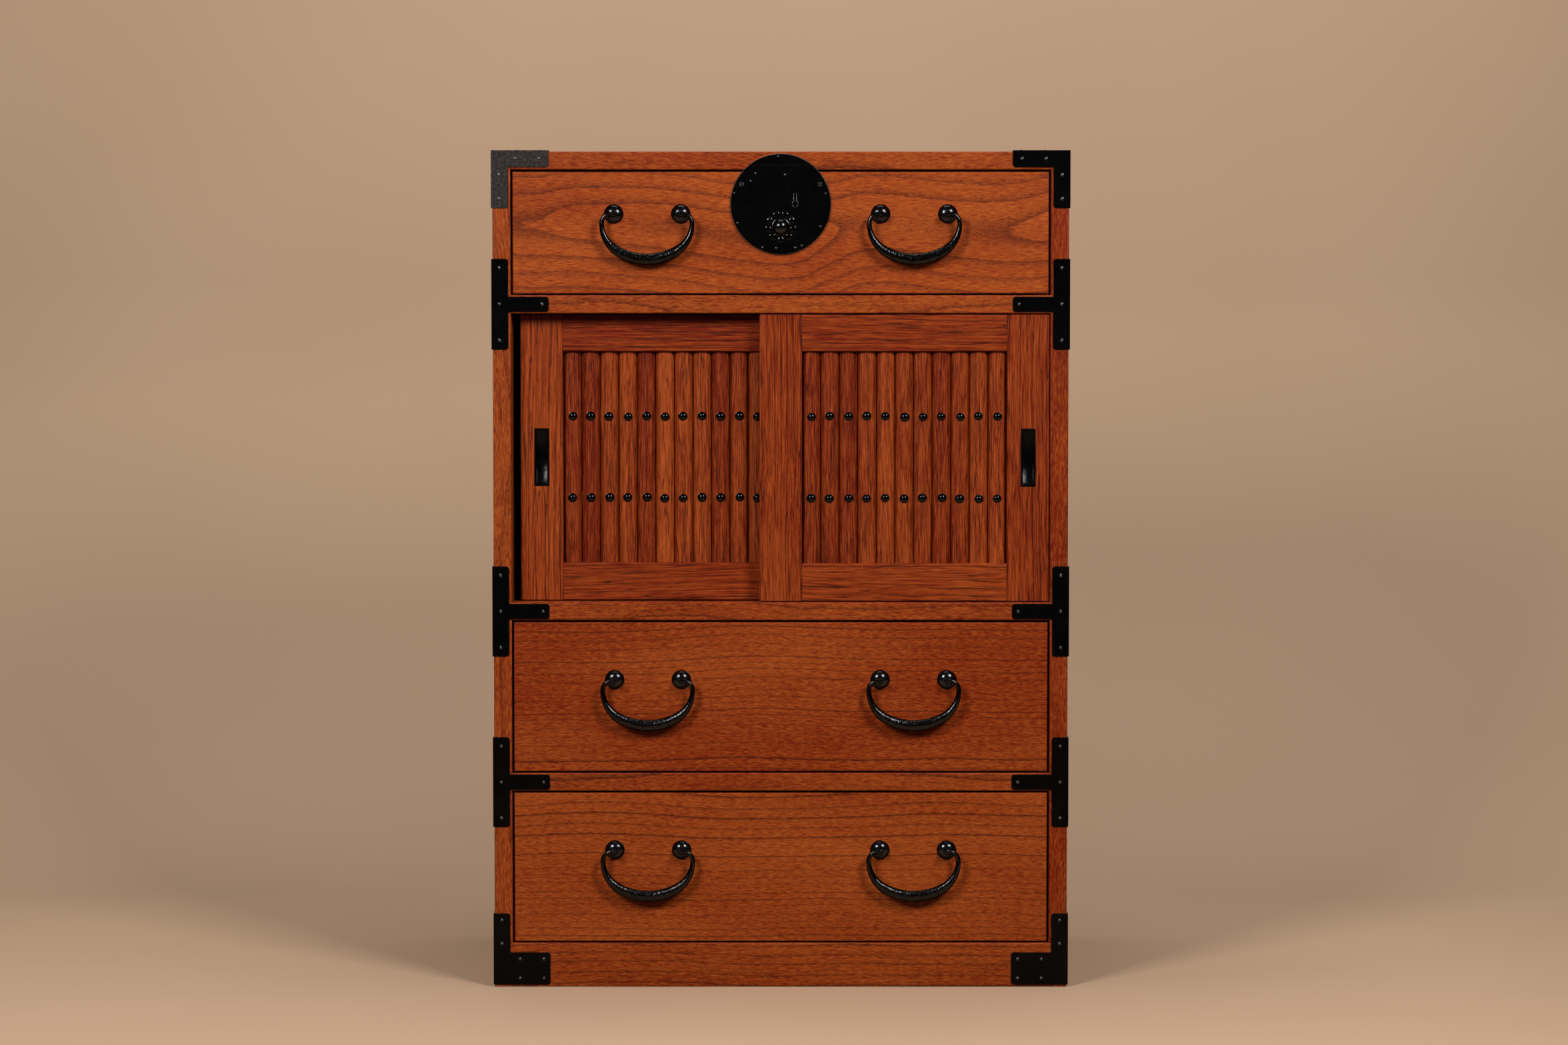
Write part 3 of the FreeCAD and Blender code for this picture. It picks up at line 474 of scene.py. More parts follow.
for boards, wood in ((CASE_BOARDS, front_elm), (DOOR_BOARDS, door_elm)):
    for node, (order, at, tones) in boards.items():
        piece = rounded_copy(node, BOARD_EDGE, FRONT_WOOD.get(node, wood))
        print("boards", saw(piece, order, at, tones, lean=LEAN.get(node, 0.0)))
        stand_for(piece, node)

# %% [markdown]
# ## Unlacquered boards inside
#
# Drawer sides, bottoms and backs, the back boards and the door battens are planed softwood without lacquer:
# pale, matt, with soft straight rings. They show when a drawer is out. Their shape is plain, so the packed
# nodes stay and get the same log material in Object space, once for each way that their grain runs.

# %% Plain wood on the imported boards
DRAWERS = ("top_drawer", "middle_drawer", "lower_drawer")
DOORS = ("left_door", "right_door")


def finish_packed(node, material):
    """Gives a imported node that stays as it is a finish."""
    slots = frame["nodes"][node].data.materials
    slots.clear()
    slots.append(material)


# Planed cedar: pale yellow-brown, matt, with soft close rings and almost no pores.
cedar_along = {
    order[0]: log_wood(
        "planed_cedar_along_" + order[0], "#c79a6b", "#a8784a", "#7c4f2a", 4.0, 0.5, order=order, pores=0.25,
        rough=0.62, coat=0.0,
    )
    for order in ("yzx", "xyz", "zxy")
}
PLAIN_BOARDS = {"bottom_panel": "x", "back_boards": "z"}
for drawer in DRAWERS:
    PLAIN_BOARDS.update({drawer + "_sides": "y", drawer + "_back": "x", drawer + "_bottom": "x"})
for door in DOORS:
    PLAIN_BOARDS[door + "_battens"] = "x"
for node, along in PLAIN_BOARDS.items():
    finish_packed(node, cedar_along[along])
print("plain boards", len(PLAIN_BOARDS))

# %% [markdown]
# ## Slats
#
# Each door panel is a row of half-round slats, split and shaved, so no two sit quite alike. They repeat at
# one pitch, which is work for Geometry Nodes: an arc is closed into a slat's section, extruded to its
# height, and put on a line of points that a seeded random value moves a little to the front or the back.

# %% Trees with named inputs
def new_tree(name, **kinds):
    """A Geometry Nodes tree with named inputs of each kind. Returns it with the sockets that give them."""
    tree = bpy.data.node_groups.new(name, "GeometryNodeTree")
    for kind, sizes in {"Geometry": ("Geometry",), **kinds, "Material": ("Material",)}.items():
        for size in sizes:
            tree.interface.new_socket(size, in_out="INPUT", socket_type="NodeSocket" + kind)
    tree.interface.new_socket("Geometry", in_out="OUTPUT", socket_type="NodeSocketGeometry")
    return tree, tree.nodes.new("NodeGroupInput").outputs


def close_tree(tree, geometry, given):
    """Ends a tree: instances become real, and the finish is set."""
    real = add(tree, "RealizeInstances", [geometry])
    done = add(tree, "SetMaterial", {0: real, "Material": given["Material"]})
    add(tree, "NodeGroupOutput", [done])
    print("tree", tree.name, "nodes", len(tree.nodes))
    return tree


def grow(piece, tree, sizes):
    """Runs a tree on a piece with these sizes, and leaves a plain mesh."""
    modifier = piece.modifiers.new(tree.name, "NODES")
    modifier.node_group = tree
    for item in tree.interface.items_tree:
        if item.in_out == "INPUT" and item.name in sizes:
            modifier[item.identifier] = sizes[item.name]
    return settle(piece)


# %% The slat row
ARC_POINTS = 14
t, given = new_tree(
    "slat_row", Int=("Count", "Seed"), Vector=("First",),
    Float=("Pitch", "Width", "Rise", "Body", "Height", "Unevenness"),
)
half = add(t, "Math MULTIPLY", [given["Width"], 0.5])
minus = add(t, "Math MULTIPLY", [half, -1.0])
crown = add(t, "Math MULTIPLY", [given["Rise"], -1.0])
arc = add(t, "CurveArc", {
    "Resolution": ARC_POINTS, "Start": add(t, "CombineXYZ", [minus]),
    "Middle": add(t, "CombineXYZ", {1: crown}), "End": add(t, "CombineXYZ", [half]),
}, mode="POINTS")
ring = add(t, "SetSplineCyclic", {0: arc, "Cyclic": True})
ends = add(t, "CurveEndpointSelection")
back = add(t, "CombineXYZ", {1: given["Body"]})
ring = add(t, "SetPosition", {0: ring, "Selection": ends, "Offset": back})
face = add(t, "FillCurve", [ring], mode="NGONS")
upward = {0: face, "Offset": (0.0, 0.0, 1.0), "Offset Scale": given["Height"], "Individual": False}
both = add(t, "JoinGeometry", [add(t, "ExtrudeMesh", upward)])
add(t, both, [add(t, "FlipFaces", [face])])
slat = add(t, "MergeByDistance", {0: both, "Distance": 0.01 * MM})
pitch_way = add(t, "CombineXYZ", [given["Pitch"]])
line = {"Count": given["Count"], "Start Location": given["First"], "Offset": pitch_way}
row = add(t, "MeshLine", line)
nudge = add(t, "RandomValue", {2: -1.0, 3: 1.0, "Seed": given["Seed"]})
nudge = add(t, "Math MULTIPLY", [nudge.outputs[1], given["Unevenness"]])
row = add(t, "SetPosition", {0: row, "Offset": add(t, "CombineXYZ", {1: nudge})})
slat_row = close_tree(t, add(t, "InstanceOnPoints", {"Points": row, "Instance": slat}), given)

# %% Slats of both doors
SLATS = 11
SLAT_GAP = 0.4
SLAT_RISE = 5.0
SLAT_UNEVEN = 0.35
# Where in the log the first slat of each door lay, in metres, and the step from slat to slat.
SLAT_AT = {"left_door": (3.4, 0.02, 0.035), "right_door": (8.4, 0.02, 0.035)}
SLAT_STEP = (0.61, 0.011, 0.004)
# Shaved elm: the same wood, with more difference from slat to slat.
slat_elm = log_wood(
    "shaved_elm_slats", "#ba5822", "#641302", "#2a0903", 8.0, 0.7, wander_mm=10.0, ripple_mm=5.0, band=8.0,
    feather=0.3, pore_mm=(12.0, 0.8), fibre_mm=(36.0, 1.2), fleck=2.5, streak=0.7,
    streak_mm=(160.0, 6.0), tone_spread=0.62,
)
SLAT_TONES = {
    "left_door": (0.75, 0.8, 0.6, 0.45, 0.7, 0.3, 0.4, 0.35, 0.8, 0.55, 0.5),
    "right_door": (0.7, 0.65, 0.75, 0.4, 0.35, 0.5, 0.65, 0.75, 0.6, 0.4, 0.45),
}


def box_mm(node):
    """A node's lowest and highest corners in millimetres."""
    return [[v / MM for v in corner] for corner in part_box(node)]


for door, seed in zip(DOORS, (3, 8)):
    low, high = box_mm(door + "_slats")
    pitch = (high[0] - low[0] + SLAT_GAP) / SLATS
    piece = grow(new_piece(door + "_slats_dressed"), slat_row, {
        "Count": SLATS, "Pitch": pitch * MM, "Width": (pitch - SLAT_GAP) * MM, "Rise": SLAT_RISE * MM,
        "First": Vector((low[0] + (pitch - SLAT_GAP) / 2, low[1] + SLAT_RISE, low[2])) * MM,
        "Body": (high[1] - low[1] - SLAT_RISE) * MM, "Height": (high[2] - low[2]) * MM,
        "Unevenness": SLAT_UNEVEN * MM, "Seed": seed, "Material": slat_elm,
    })
    smooth_by_angle(piece, angle=40.0)
    made = saw(piece, "zxy", SLAT_AT[door], SLAT_TONES[door], step=SLAT_STEP)
    print("slats", made, "pitch mm", round(pitch, 2))
    stand_for(piece, door + "_slats")

# %% [markdown]
# ## Black iron
#
# The irons, the lock and the handles are wrought iron. Sheets are baked black with lacquer, which is no
# metal to the eye but a dark skin that shows the lamps. Handles, rosettes and nails are only blacked and
# polished, so they stay metal, with a very dark colour. On filed edges the black is worn to grey, and one
# corner iron has a grey sheen painted into its colour: a painted reflection. Each finish could be a tree of
# its own, but one function makes them all, from hammer waves, fine pits and a gloss that follows the pits.

# %% Black finishes
# Half thicknesses of a bar, in millimetres, between which its pits deepen, and their share at the thin end.
PITS_FROM, PITS_FULL, PITS_LEAST = 3.0, 5.6, 0.15


def black_iron(
    name, colour, rough, wave_mm, wave, pit_mm, pit, shine=0.5, wear_and_sheen_to="#070606", metal=0.0, grip=False
):
    """Black lacquer over iron: hammer waves and fine pits, each with its width and depth in millimetres, and
    gloss that differs with them. Where the iron is only blacked, metal is 1. With grip, the pits are deep
    only where a bar is thick."""
    material, t, shader = new_material(name)
    place = add(t, "TexCoord").outputs["Object"]
    waves, pits = (
        add(t, "TexNoise", {"Vector": place, "Scale": 1.0 / (size * MM)})
        for size in (wave_mm, pit_mm)
    )
    # The colour drifts with the hammer waves towards a second one: a random tone on most finishes, and a
    # painted sheen on the one corner iron.
    wear_and_sheen = add(t, "MapRange", [waves, 0.35, 0.7])
    tint = add(t, "Mix", {0: wear_and_sheen, 6: linear(colour), 7: linear(wear_and_sheen_to)}, data_type="RGBA")
    depth = pit * MM
    if grip:
        thick = add(t, "Attribute", attribute_name="thick").outputs["Fac"]
        run = {0: thick, 1: PITS_FROM * MM, 2: PITS_FULL * MM, 3: PITS_LEAST * depth, 4: depth}
        depth = add(t, "MapRange", run)
    first = add(t, "Bump", {"Height": waves, "Distance": wave * MM})
    add(t, shader, {
        "Base Color": tint.outputs[2],
        "Roughness": add(t, "MapRange", [pits, 0.3, 0.7, 0.8 * rough, 1.25 * rough]),
        "Normal": add(t, "Bump", {"Height": pits, "Distance": depth, "Normal": first}),
        "Specular IOR Level": shine, "Metallic": metal,
    })
    if metal:
        add(t, shader, {"Specular Tint": linear("#404040")})
    print("iron", name)
    return material


# Lacquered sheet: deep black and glossy, slightly wavy from the hammer.
sheet_iron = black_iron("black_lacquered_sheet_iron", "#030303", 0.2, 22.0, 0.08, 1.6, 0.012, 0.07)
# Forged bars: black metal whose highlights break up where the grip is pitted.
forged_iron = black_iron(
    "black_forged_iron", "#292929", 0.15, 6.0, 0.12, 2.2, 0.45, 0.5, "#353434", 1.0, True
)
# Cups hammered into a mould: black lacquer with a restless gloss.
pitted_iron = black_iron("black_pitted_iron", "#030303", 0.17, 4.0, 0.2, 1.2, 0.08, 0.11)
# Turned domes: black metal with clear, soft-edged highlights.
polished_iron = black_iron(
    "black_polished_iron", "#363638", 0.17, 9.0, 0.05, 2.0, 0.008, 0.5, "#3c3c3e", 1.0
)
# Heads of the slat nails: black as glass, with two small sharp highlights.
nail_iron = black_iron("black_nail_iron", "#262627", 0.07, 9.0, 0.03, 2.0, 0.004, 0.5, "#28282a", 1.0)
# Small nails, rubbed by the hammer that drove them: grey glints on the black sheet.
bright_iron = black_iron("bright_nail_iron", "#525254", 0.22, 9.0, 0.08, 2.0, 0.012, 0.5, "#5a5a5c", 1.0)
# Filed edges, where the black has worn off: thin bright lines round the lock.
worn_iron = black_iron("worn_iron_edges", "#7c7a78", 0.42, 9.0, 0.02, 1.2, 0.01, 0.5, "#5c5a58", 1.0)
# One corner iron has a satin grey-brown sheen painted into its colour: a painted reflection of the left lamp.
painted_sheen_iron = black_iron("painted_sheen_sheet_iron", "#130f0d", 0.5, 3.5, 0.08, 1.2, 0.04, 0.17, "#38302b")

# %% [markdown]
# ## Corner irons, tees and their nails
#
# The irons are 1.5 mm sheet, cut with shears, filed round at the edges and folded over the side of the case.
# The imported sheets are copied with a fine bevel. Small round heads hold them. Their places are read from the
# packed nails, and Geometry Nodes put a low dome on each point, turned to face out of its sheet.

# %% Irons
IRON_EDGE, IRON_CORNER = 0.35, 1.3
IRONS = [f"corner_iron_{end}_{side}" for end in ("top", "bottom") for side in ("left", "right")]
IRONS += ["tee_irons_left", "tee_irons_right"]
for node in IRONS:
    # The top left corner iron gets the painted sheen.
    finish = painted_sheen_iron if node == "corner_iron_top_left" else sheet_iron
    piece = rounded_copy(node, IRON_EDGE, finish, corner_mm=IRON_CORNER)
    stand_for(piece, node)

# %% A tree that puts domed heads on points
t, given = new_tree(
    "domed_heads", Int=("Segments", "Rings", "Seed"),
    Float=("Radius", "Height", "Ball", "Rim", "Rim Height", "Unevenness"),
)
ball = add(t, "MeshUVSphere", [given["Segments"], given["Rings"], 1.0])
at = add(t, "SeparateXYZ", [add(t, "InputPosition")]).outputs
lift = add(t, "Math MAXIMUM", [at[2], 0.0])
square = add(t, "Math MULTIPLY", [lift, lift])
outer = add(t, "Math ADD", [given["Radius"], given["Rim"]])
heads = add(t, "JoinGeometry")
for reach, rise in ((given["Radius"], given["Height"]), (outer, given["Rim Height"])):
    # A cap that rises h for a reach of 1 is cut from a ball whose middle lies k below the foot. Where Ball
    # is 0 the dome is a flattened half ball instead, which is broader at the top.
    h = add(t, "Math DIVIDE", [rise, reach])
    k = add(t, "Math DIVIDE", [1.0, h])
    k = add(t, "Math SUBTRACT", [k, h])
    k = add(t, "Math MULTIPLY", [k, 0.5])
    up = add(t, "Math MULTIPLY_ADD", [k, k, square])
    up = add(t, "Math SQRT", [up])
    up = add(t, "Math SUBTRACT", [up, k])
    flat = add(t, "Math MULTIPLY", [lift, h])
    up = add(t, "Mix", {0: given["Ball"], 2: flat, 3: up})
    upper = add(t, "CombineXYZ", [at[0], at[1], up])
    shape = add(t, "VectorMath SCALE", {0: upper, 3: reach})
    add(t, heads, [add(t, "SetPosition", {0: ball, "Position": shape})])
out = add(t, "InputNamedAttribute", {"Name": "out"}, data_type="FLOAT_VECTOR")
turn = add(t, "AlignRotationToVector", {"Vector": out}, axis="Z")
least, most = (add(t, "Math " + way, [1.0, given["Unevenness"]]) for way in ("SUBTRACT", "ADD"))
size = add(t, "RandomValue", {2: least, 3: most, "Seed": given["Seed"]}).outputs[1]
domed_heads = close_tree(t, add(t, "InstanceOnPoints", {
    "Points": given["Geometry"], "Instance": heads, "Rotation": turn, "Scale": size,
}), given)

# %% Heads at places
LEAST_RINGS = 6
FORWARD = Vector((0.0, -1.0, 0.0))


def heads_on(name, places, finish, radius, height, rim, rim_height, sides, uneven=0.0, seed=1, ball=1.0):
    """Domed heads at places, each a point in metres and the way that it faces. Sizes are in millimetres."""
    mesh = bpy.data.meshes.new(name)
    mesh.from_pydata([p for p, _ in places], [], [])
    write_points(mesh, "out", [v for _, way in places for v in way], "FLOAT_VECTOR")
    piece = grow(new_piece(name, mesh), domed_heads, {
        "Radius": radius * MM, "Height": height * MM, "Rim": rim * MM, "Rim Height": rim_height * MM,
        "Segments": sides, "Rings": max(LEAST_RINGS, sides // 2), "Ball": ball, "Unevenness": uneven,
        "Seed": seed, "Material": finish,
    })
    print(name, "heads", len(places))
    return smooth_by_angle(piece, angle=50.0)


def packed_heads(node, head_mm=None):
    """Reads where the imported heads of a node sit: the middle of each one's foot, and the way it faces.
    A nail with a shank needs head_mm, how far its head stands out to the front."""
    mesh = to_mesh("heads_read", packed_shape(node))
    part = loose_parts(mesh)
    places = []
    for head in sorted(set(part)):
        points = [mesh.vertices[i].co for i, k in enumerate(part) if k == head]
        low, high = (Vector([pick(p[a] for p in points) for a in range(3)]) for pick in (min, max))
        thin = 1 if head_mm else min(range(3), key=lambda a: high[a] - low[a])
        foot = (low + high) / 2
        way = Vector((0.0, 0.0, 0.0))
        way[thin] = -1.0 if thin == 1 or (thin == 0 and foot[0] < 0) else 1.0
        foot[thin] = low[thin] if way[thin] > 0 else high[thin]
        if head_mm:
            foot[thin] = low[thin] + head_mm * MM
        places.append((foot, way))
    return places


# %% Nails of the irons
piece = heads_on(
    "iron_nails_dressed", packed_heads("iron_nails"), bright_iron, radius=1.9, height=1.1, rim=0.2,
    rim_height=0.3, sides=12, uneven=0.08, seed=5,
)
stand_for(piece, "iron_nails")

# %% Nails of the slats
# Each head stands a little in front of the slats' crowns, so that none cuts into it, and not quite in line.
NAIL_STANDS = 3.6
NAIL_PROUD = 0.3
NAIL_OFF = 0.8
for door, seed in zip(DOORS, (11, 12)):
    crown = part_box(door + "_slats")[0][1] - NAIL_PROUD * MM
    shift = random.Random(seed)
    placed = []
    for foot, way in packed_heads(door + "_nails", NAIL_STANDS):
        aside, along = (shift.uniform(-NAIL_OFF, NAIL_OFF) * MM for _ in range(2))
        placed.append((Vector((foot[0] + aside, crown, foot[2] + along)), way))
    piece = heads_on(
        door + "_nails_dressed", placed, nail_iron, radius=5.2, height=2.4, rim=0.2, rim_height=0.8,
        sides=20, uneven=0.05, seed=seed,
    )
    stand_for(piece, door + "_nails")

# %% [markdown]
# ## Handles
#
# A bail handle hangs in two split eye pins that come through domed rosettes. Its bar is forged: thin at the
# tips, which curl into the eyes, and swollen to a flat oval at the grip. A bent cylinder would have one
# thickness, so the bar is a path with its own thickness at each point, swept by Geometry Nodes, flattened
# towards the grip, and dented by a noise like the hammer's.

# %% Rosettes and eye pins
ROSETTE_RIM = 0.15
PIN_EDGE = 0.4
for drawer in DRAWERS:
    low, high = box_mm(drawer + "_rosettes")
    piece = heads_on(
        drawer + "_rosettes_dressed", packed_heads(drawer + "_rosettes"), polished_iron,
        radius=(high[2] - low[2]) / 2 - ROSETTE_RIM, height=7.5, rim=ROSETTE_RIM, rim_height=0.8, sides=36,
        ball=0.0,
    )
    stand_for(piece, drawer + "_rosettes")
    pins = rounded_copy(drawer + "_eye_pins", PIN_EDGE, forged_iron, curved=45.0)
    stand_for(pins, drawer + "_eye_pins")

# %% The bail's path
# Sizes in millimetres: a short run through the eye, a tight curl, a wider side, and the grip's slow arc.
EYE_SPACING = 81.5
TIP_INSIDE = 4.5
TIP_MIDDLE = 1.2
TIP_OUTSIDE = 2.0
CURL_RADIUS = 12.0
SIDE_RADIUS = 39.0
SIDE_TURN = 60.0


def bail_path():
    """Half of a bail's middle line, from tip to grip: x and z from its middle, and its turn so far."""
    eye = EYE_SPACING / 2
    points = [(eye - TIP_INSIDE, 0.0, 0.0), (eye - TIP_MIDDLE, 0.0, 0.0), (eye + TIP_OUTSIDE, 0.0, 0.0)]
    x, z = points[-1][:2]
    side_end = 90.0 + SIDE_TURN
    side_x = x + CURL_RADIUS - SIDE_RADIUS * (1 - math.sin(math.radians(side_end)))
    grip_radius = side_x / math.sin(math.radians(side_end))
    for start, end, radius, steps in (
        (0.0, 90.0, CURL_RADIUS, 14), (90.0, side_end, SIDE_RADIUS, 26), (side_end, 180.0, grip_radius, 28),
    ):
        for step in range(1, steps + 1):
            a, b = (math.radians(start + (end - start) * s / steps) for s in (step - 1, step))
            x += radius * (math.sin(b) - math.sin(a))
            z += radius * (math.cos(b) - math.cos(a))
            points.append((x, z, math.degrees(b)))
    return points


half_path = bail_path()
print("bail drop mm", round(-half_path[-1][1], 2), "half width", round(max(p[0] for p in half_path), 2))

# %% A tree that forges a bar along a path
t, given = new_tree("forged_bar", Vector=("Middle",), Int=("Sides",), Float=("Dent", "Spacing"))
thick, flat = (
    add(t, "InputNamedAttribute", {"Name": name}, data_type="FLOAT") for name in ("thick", "flat")
)
section = add(t, "CurvePrimitiveCircle", {"Resolution": given["Sides"], "Radius": 1.0})
line = add(t, "MeshToCurve", [given["Geometry"]])
bar = add(t, "CurveToMesh", {0: line, 1: section, "Scale": thick, "Fill Caps": True})
where = add(t, "InputPosition")
off = add(t, "VectorMath SUBTRACT", [where, given["Middle"]])
way = add(t, "SeparateXYZ", [off])
spare = add(t, "Math SUBTRACT", [flat, 1.0])
press = add(t, "Math MULTIPLY", [way.outputs[1], spare])
bar = add(t, "SetPosition", {0: bar, "Offset": add(t, "CombineXYZ", {1: press})})
scale = add(t, "Math DIVIDE", [1.0, given["Spacing"]])
dent = add(t, "TexNoise", {"Vector": where, "Scale": scale})
dent = add(t, "Math SUBTRACT", [dent, 0.5])
dent = add(t, "Math MULTIPLY", [dent, given["Dent"]])
outward = add(t, "InputNormal")
dent = add(t, "VectorMath SCALE", {0: outward, 3: dent})
forged_bar = close_tree(t, add(t, "SetPosition", {0: bar, "Offset": dent}), given)


def forge(name, points, links, thick_mm, flats, **sizes):
    """A bar along linked points in metres, with its half thickness and its flatness at each."""
    mesh = bpy.data.meshes.new(name)
    mesh.from_pydata(points, links, [])
    write_points(mesh, "thick", [v * MM for v in thick_mm])
    write_points(mesh, "flat", flats)
    return smooth_by_angle(grow(new_piece(name, mesh), forged_bar, sizes), angle=60.0)


# %% Six bails
TIP_HALF = 2.7
GRIP_HALF = 6.8
GRIP_FLATNESS = 0.7
SWELL_FROM = 78.0
DENT = 0.35
DENT_SPACING = 7.0
whole = half_path + [(-x, z, turned) for x, z, turned in reversed(half_path[:-1])]
runs = [max(0.0, turned - SWELL_FROM) / (180.0 - SWELL_FROM) for _, _, turned in whole]
swell = [(1 - math.cos(math.pi * run)) / 2 for run in runs]
for hinge in frame["joints"]:
    node = hinge["child"]
    if "_handle_" not in node:
        continue
    x0, y0, z0 = hinge["pos_m"]
    piece = forge(
        node + "_dressed", [(x0 + x * MM, y0, z0 + z * MM) for x, z, _ in whole],
        [(i, i + 1) for i in range(len(whole) - 1)], [TIP_HALF + (GRIP_HALF - TIP_HALF) * s for s in swell],
        [1 + (GRIP_FLATNESS - 1) * s for s in swell],
        Middle=(x0, y0, z0), Sides=24, Dent=DENT * MM, Spacing=DENT_SPACING * MM, Material=forged_iron,
    )
    stand_for(piece, node)

# %% [markdown]
# ## The lock
#
# A round plate carries the lock. Its top segment is nailed to the rail, so the disc is split by the drawer's
# upper edge. Over the plate lies a stepped cover with a keyhole, two ring rivets, small nails, and a domed
# boss on a collar of petals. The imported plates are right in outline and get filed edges, worn bright on the
# rim. The petals repeat round a circle, so Geometry Nodes make them.

# %% Plates, cover, collar and rivets
# Only the rim of the disc and the ring rivets are worn bright. The seams of the plates stay black.
LOCK_RADIUS = 61.0
RIM_WORN = 0.8
LOCK_EDGES = {
    "lock_rail_plate": 0.35, "lock_plate": 0.35, "lock_cover": 0.3, "lock_boss_collar": 0.3,
    "lock_rivets": 0.25,
}
lock_z = box_mm("lock_plate")[0][2] + LOCK_RADIUS
for node, edge in LOCK_EDGES.items():
    ringed = node == "lock_rivets"
    piece = rounded_copy(node, edge, sheet_iron, curved=40.0 if ringed else 0.0, edge_finish=worn_iron)
    for face in piece.data.polygons:
        out = math.hypot(face.center.x, face.center.z - lock_z * MM)
        if not ringed and out < (LOCK_RADIUS - RIM_WORN) * MM:
            face.material_index = 0
    stand_for(piece, node)

# %% A tree that sets petals round a boss
# A petal is half of a ball, as wide as FLARE says at its middle and wider towards its tip.
FLARE, FLARE_OUT = 0.8, 0.3
t, given = new_tree(
    "petal_ring", Int=("Count",), Vector=("Middle",),
    Float=("Ring", "Half Reach", "Half Width", "Height", "Turn"),
)
ball = add(t, "MeshUVSphere", {"Segments": 24, "Rings": 12, "Radius": 1.0})
at = add(t, "SeparateXYZ", [add(t, "InputPosition")]).outputs
flare = add(t, "Math MULTIPLY_ADD", [at[0], FLARE_OUT, FLARE])
across = add(t, "Math MULTIPLY", [at[1], flare])
lift = add(t, "Math MAXIMUM", [at[2], 0.0])
shape = add(t, "CombineXYZ", [at[0], across, lift])
size = add(t, "CombineXYZ", [given["Half Reach"], given["Half Width"], given["Height"]])
shape = add(t, "VectorMath MULTIPLY", [shape, size])
petal = add(t, "SetPosition", {0: ball, "Position": shape})
spots = add(t, "MeshCircle", {"Vertices": given["Count"], "Radius": given["Ring"]})
place = add(t, "InputPosition")
outward = add(t, "AlignRotationToVector", {"Vector": place}, axis="X", pivot_axis="Z")
petals = add(t, "InstanceOnPoints", {"Points": spots, "Instance": petal, "Rotation": outward})
back_turn = add(t, "Math MULTIPLY", [given["Turn"], -1.0])
upright = add(t, "EulerToRotation", [add(t, "CombineXYZ", [math.pi / 2, back_turn])])
petals = add(t, "Transform", {0: petals, "Translation": given["Middle"], "Rotation": upright})
petal_ring = close_tree(t, petals, given)

# %% The boss and its petals
PETALS = 9
PETAL_TURN = 30.0
PETAL_SUNK = 0.6
BOSS_RIM = 0.7
collar_low, collar_high = box_mm("lock_boss_collar")
boss_low, boss_high = box_mm("lock_boss")
boss_x = (collar_low[0] + collar_high[0]) / 2
boss_z = (boss_low[2] + boss_high[2]) / 2


def on_lock(piece, body="top_drawer"):
    """A new piece of the lock moves with a body."""
    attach(piece, body)


petals = grow(new_piece("lock_petals"), petal_ring, {
    "Count": PETALS, "Ring": 15.2 * MM, "Half Reach": 4.6 * MM, "Half Width": 6.0 * MM, "Height": 1.7 * MM,
    "Turn": math.radians(PETAL_TURN), "Middle": Vector((boss_x, collar_low[1] + PETAL_SUNK, boss_z)) * MM,
    "Material": nail_iron,
})
on_lock(smooth_by_angle(petals, angle=50.0))
boss = heads_on(
    "lock_boss_dressed", [(Vector((boss_x, collar_low[1], boss_z)) * MM, FORWARD)], polished_iron,
    radius=(boss_high[2] - boss_low[2]) / 2 - BOSS_RIM, height=collar_low[1] - boss_low[1], rim=BOSS_RIM,
    rim_height=1.2, sides=48, ball=0.3,
)
stand_for(boss, "lock_boss")

# %% Small nails of the lock
# From the lock's middle, in millimetres: round the rim, on the cover, and on the rail part.
LOCK_NAILS = {
    "lock_rim_nails": ("lock_plate", (
        (-56.4, 13.3), (54.9, 12.8), (-52.2, -22.9), (48.2, -27.1), (-22.1, -52.6), (-5.4, -53.4),
        (17.8, -52.9), (25.7, -50.3),
    )),
    "lock_cover_nails": ("lock_cover", ((-30.4, 36.9), (-36.5, 27.9), (5.3, 35.5))),
    "lock_rail_nails": ("lock_rail_plate", ((-3.1, 57.6),)),
}
for name, (node, spots) in LOCK_NAILS.items():
    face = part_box(node)[0][1]
    places = [(Vector((x * MM, face, (lock_z + z) * MM)), FORWARD) for x, z in spots]
    piece = heads_on(
        name, places, bright_iron, radius=1.1, height=0.7, rim=0.1, rim_height=0.2, sides=10, uneven=0.1,
        seed=2,
    )
    on_lock(piece, body_of[node])

# %% The key's way in
# A round hole with a slot over it, in millimetres: a black sleeve lines the hole's walls, painted shade for
# the dark inside of the keyhole, and a filed bead runs round it.
KEY_X, KEY_RADIUS, KEY_SLOT, KEY_HEIGHT = 17.5, 3.6, 1.5, 12.5
SHADE_SLEEVE_HALF, SHADE_SLEEVE_FROM, SHADE_SLEEVE_TO = 0.35, 0.1, 9.0
BEAD_OUT, BEAD_HALF = 0.1, 0.45
KEY_STEPS = 24


def key_outline(grown, depth):
    """The hole's outline, grown by some millimetres and this deep behind the plate's face, in metres."""
    radius, half, top = KEY_RADIUS + grown, KEY_SLOT + grown, KEY_HEIGHT + grown
    open_at = math.asin(half / radius)
    sweep = 2 * math.pi - 2 * open_at
    turns = [math.pi / 2 - open_at - sweep * i / KEY_STEPS for i in range(KEY_STEPS + 1)]
    arc = [(radius * math.cos(a), radius * math.sin(a)) for a in turns]
    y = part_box("lock_plate")[0][1] + depth * MM
    return [((KEY_X + x) * MM, y, (lock_z + z) * MM) for x, z in [(half, top)] + arc + [(-half, top)]]


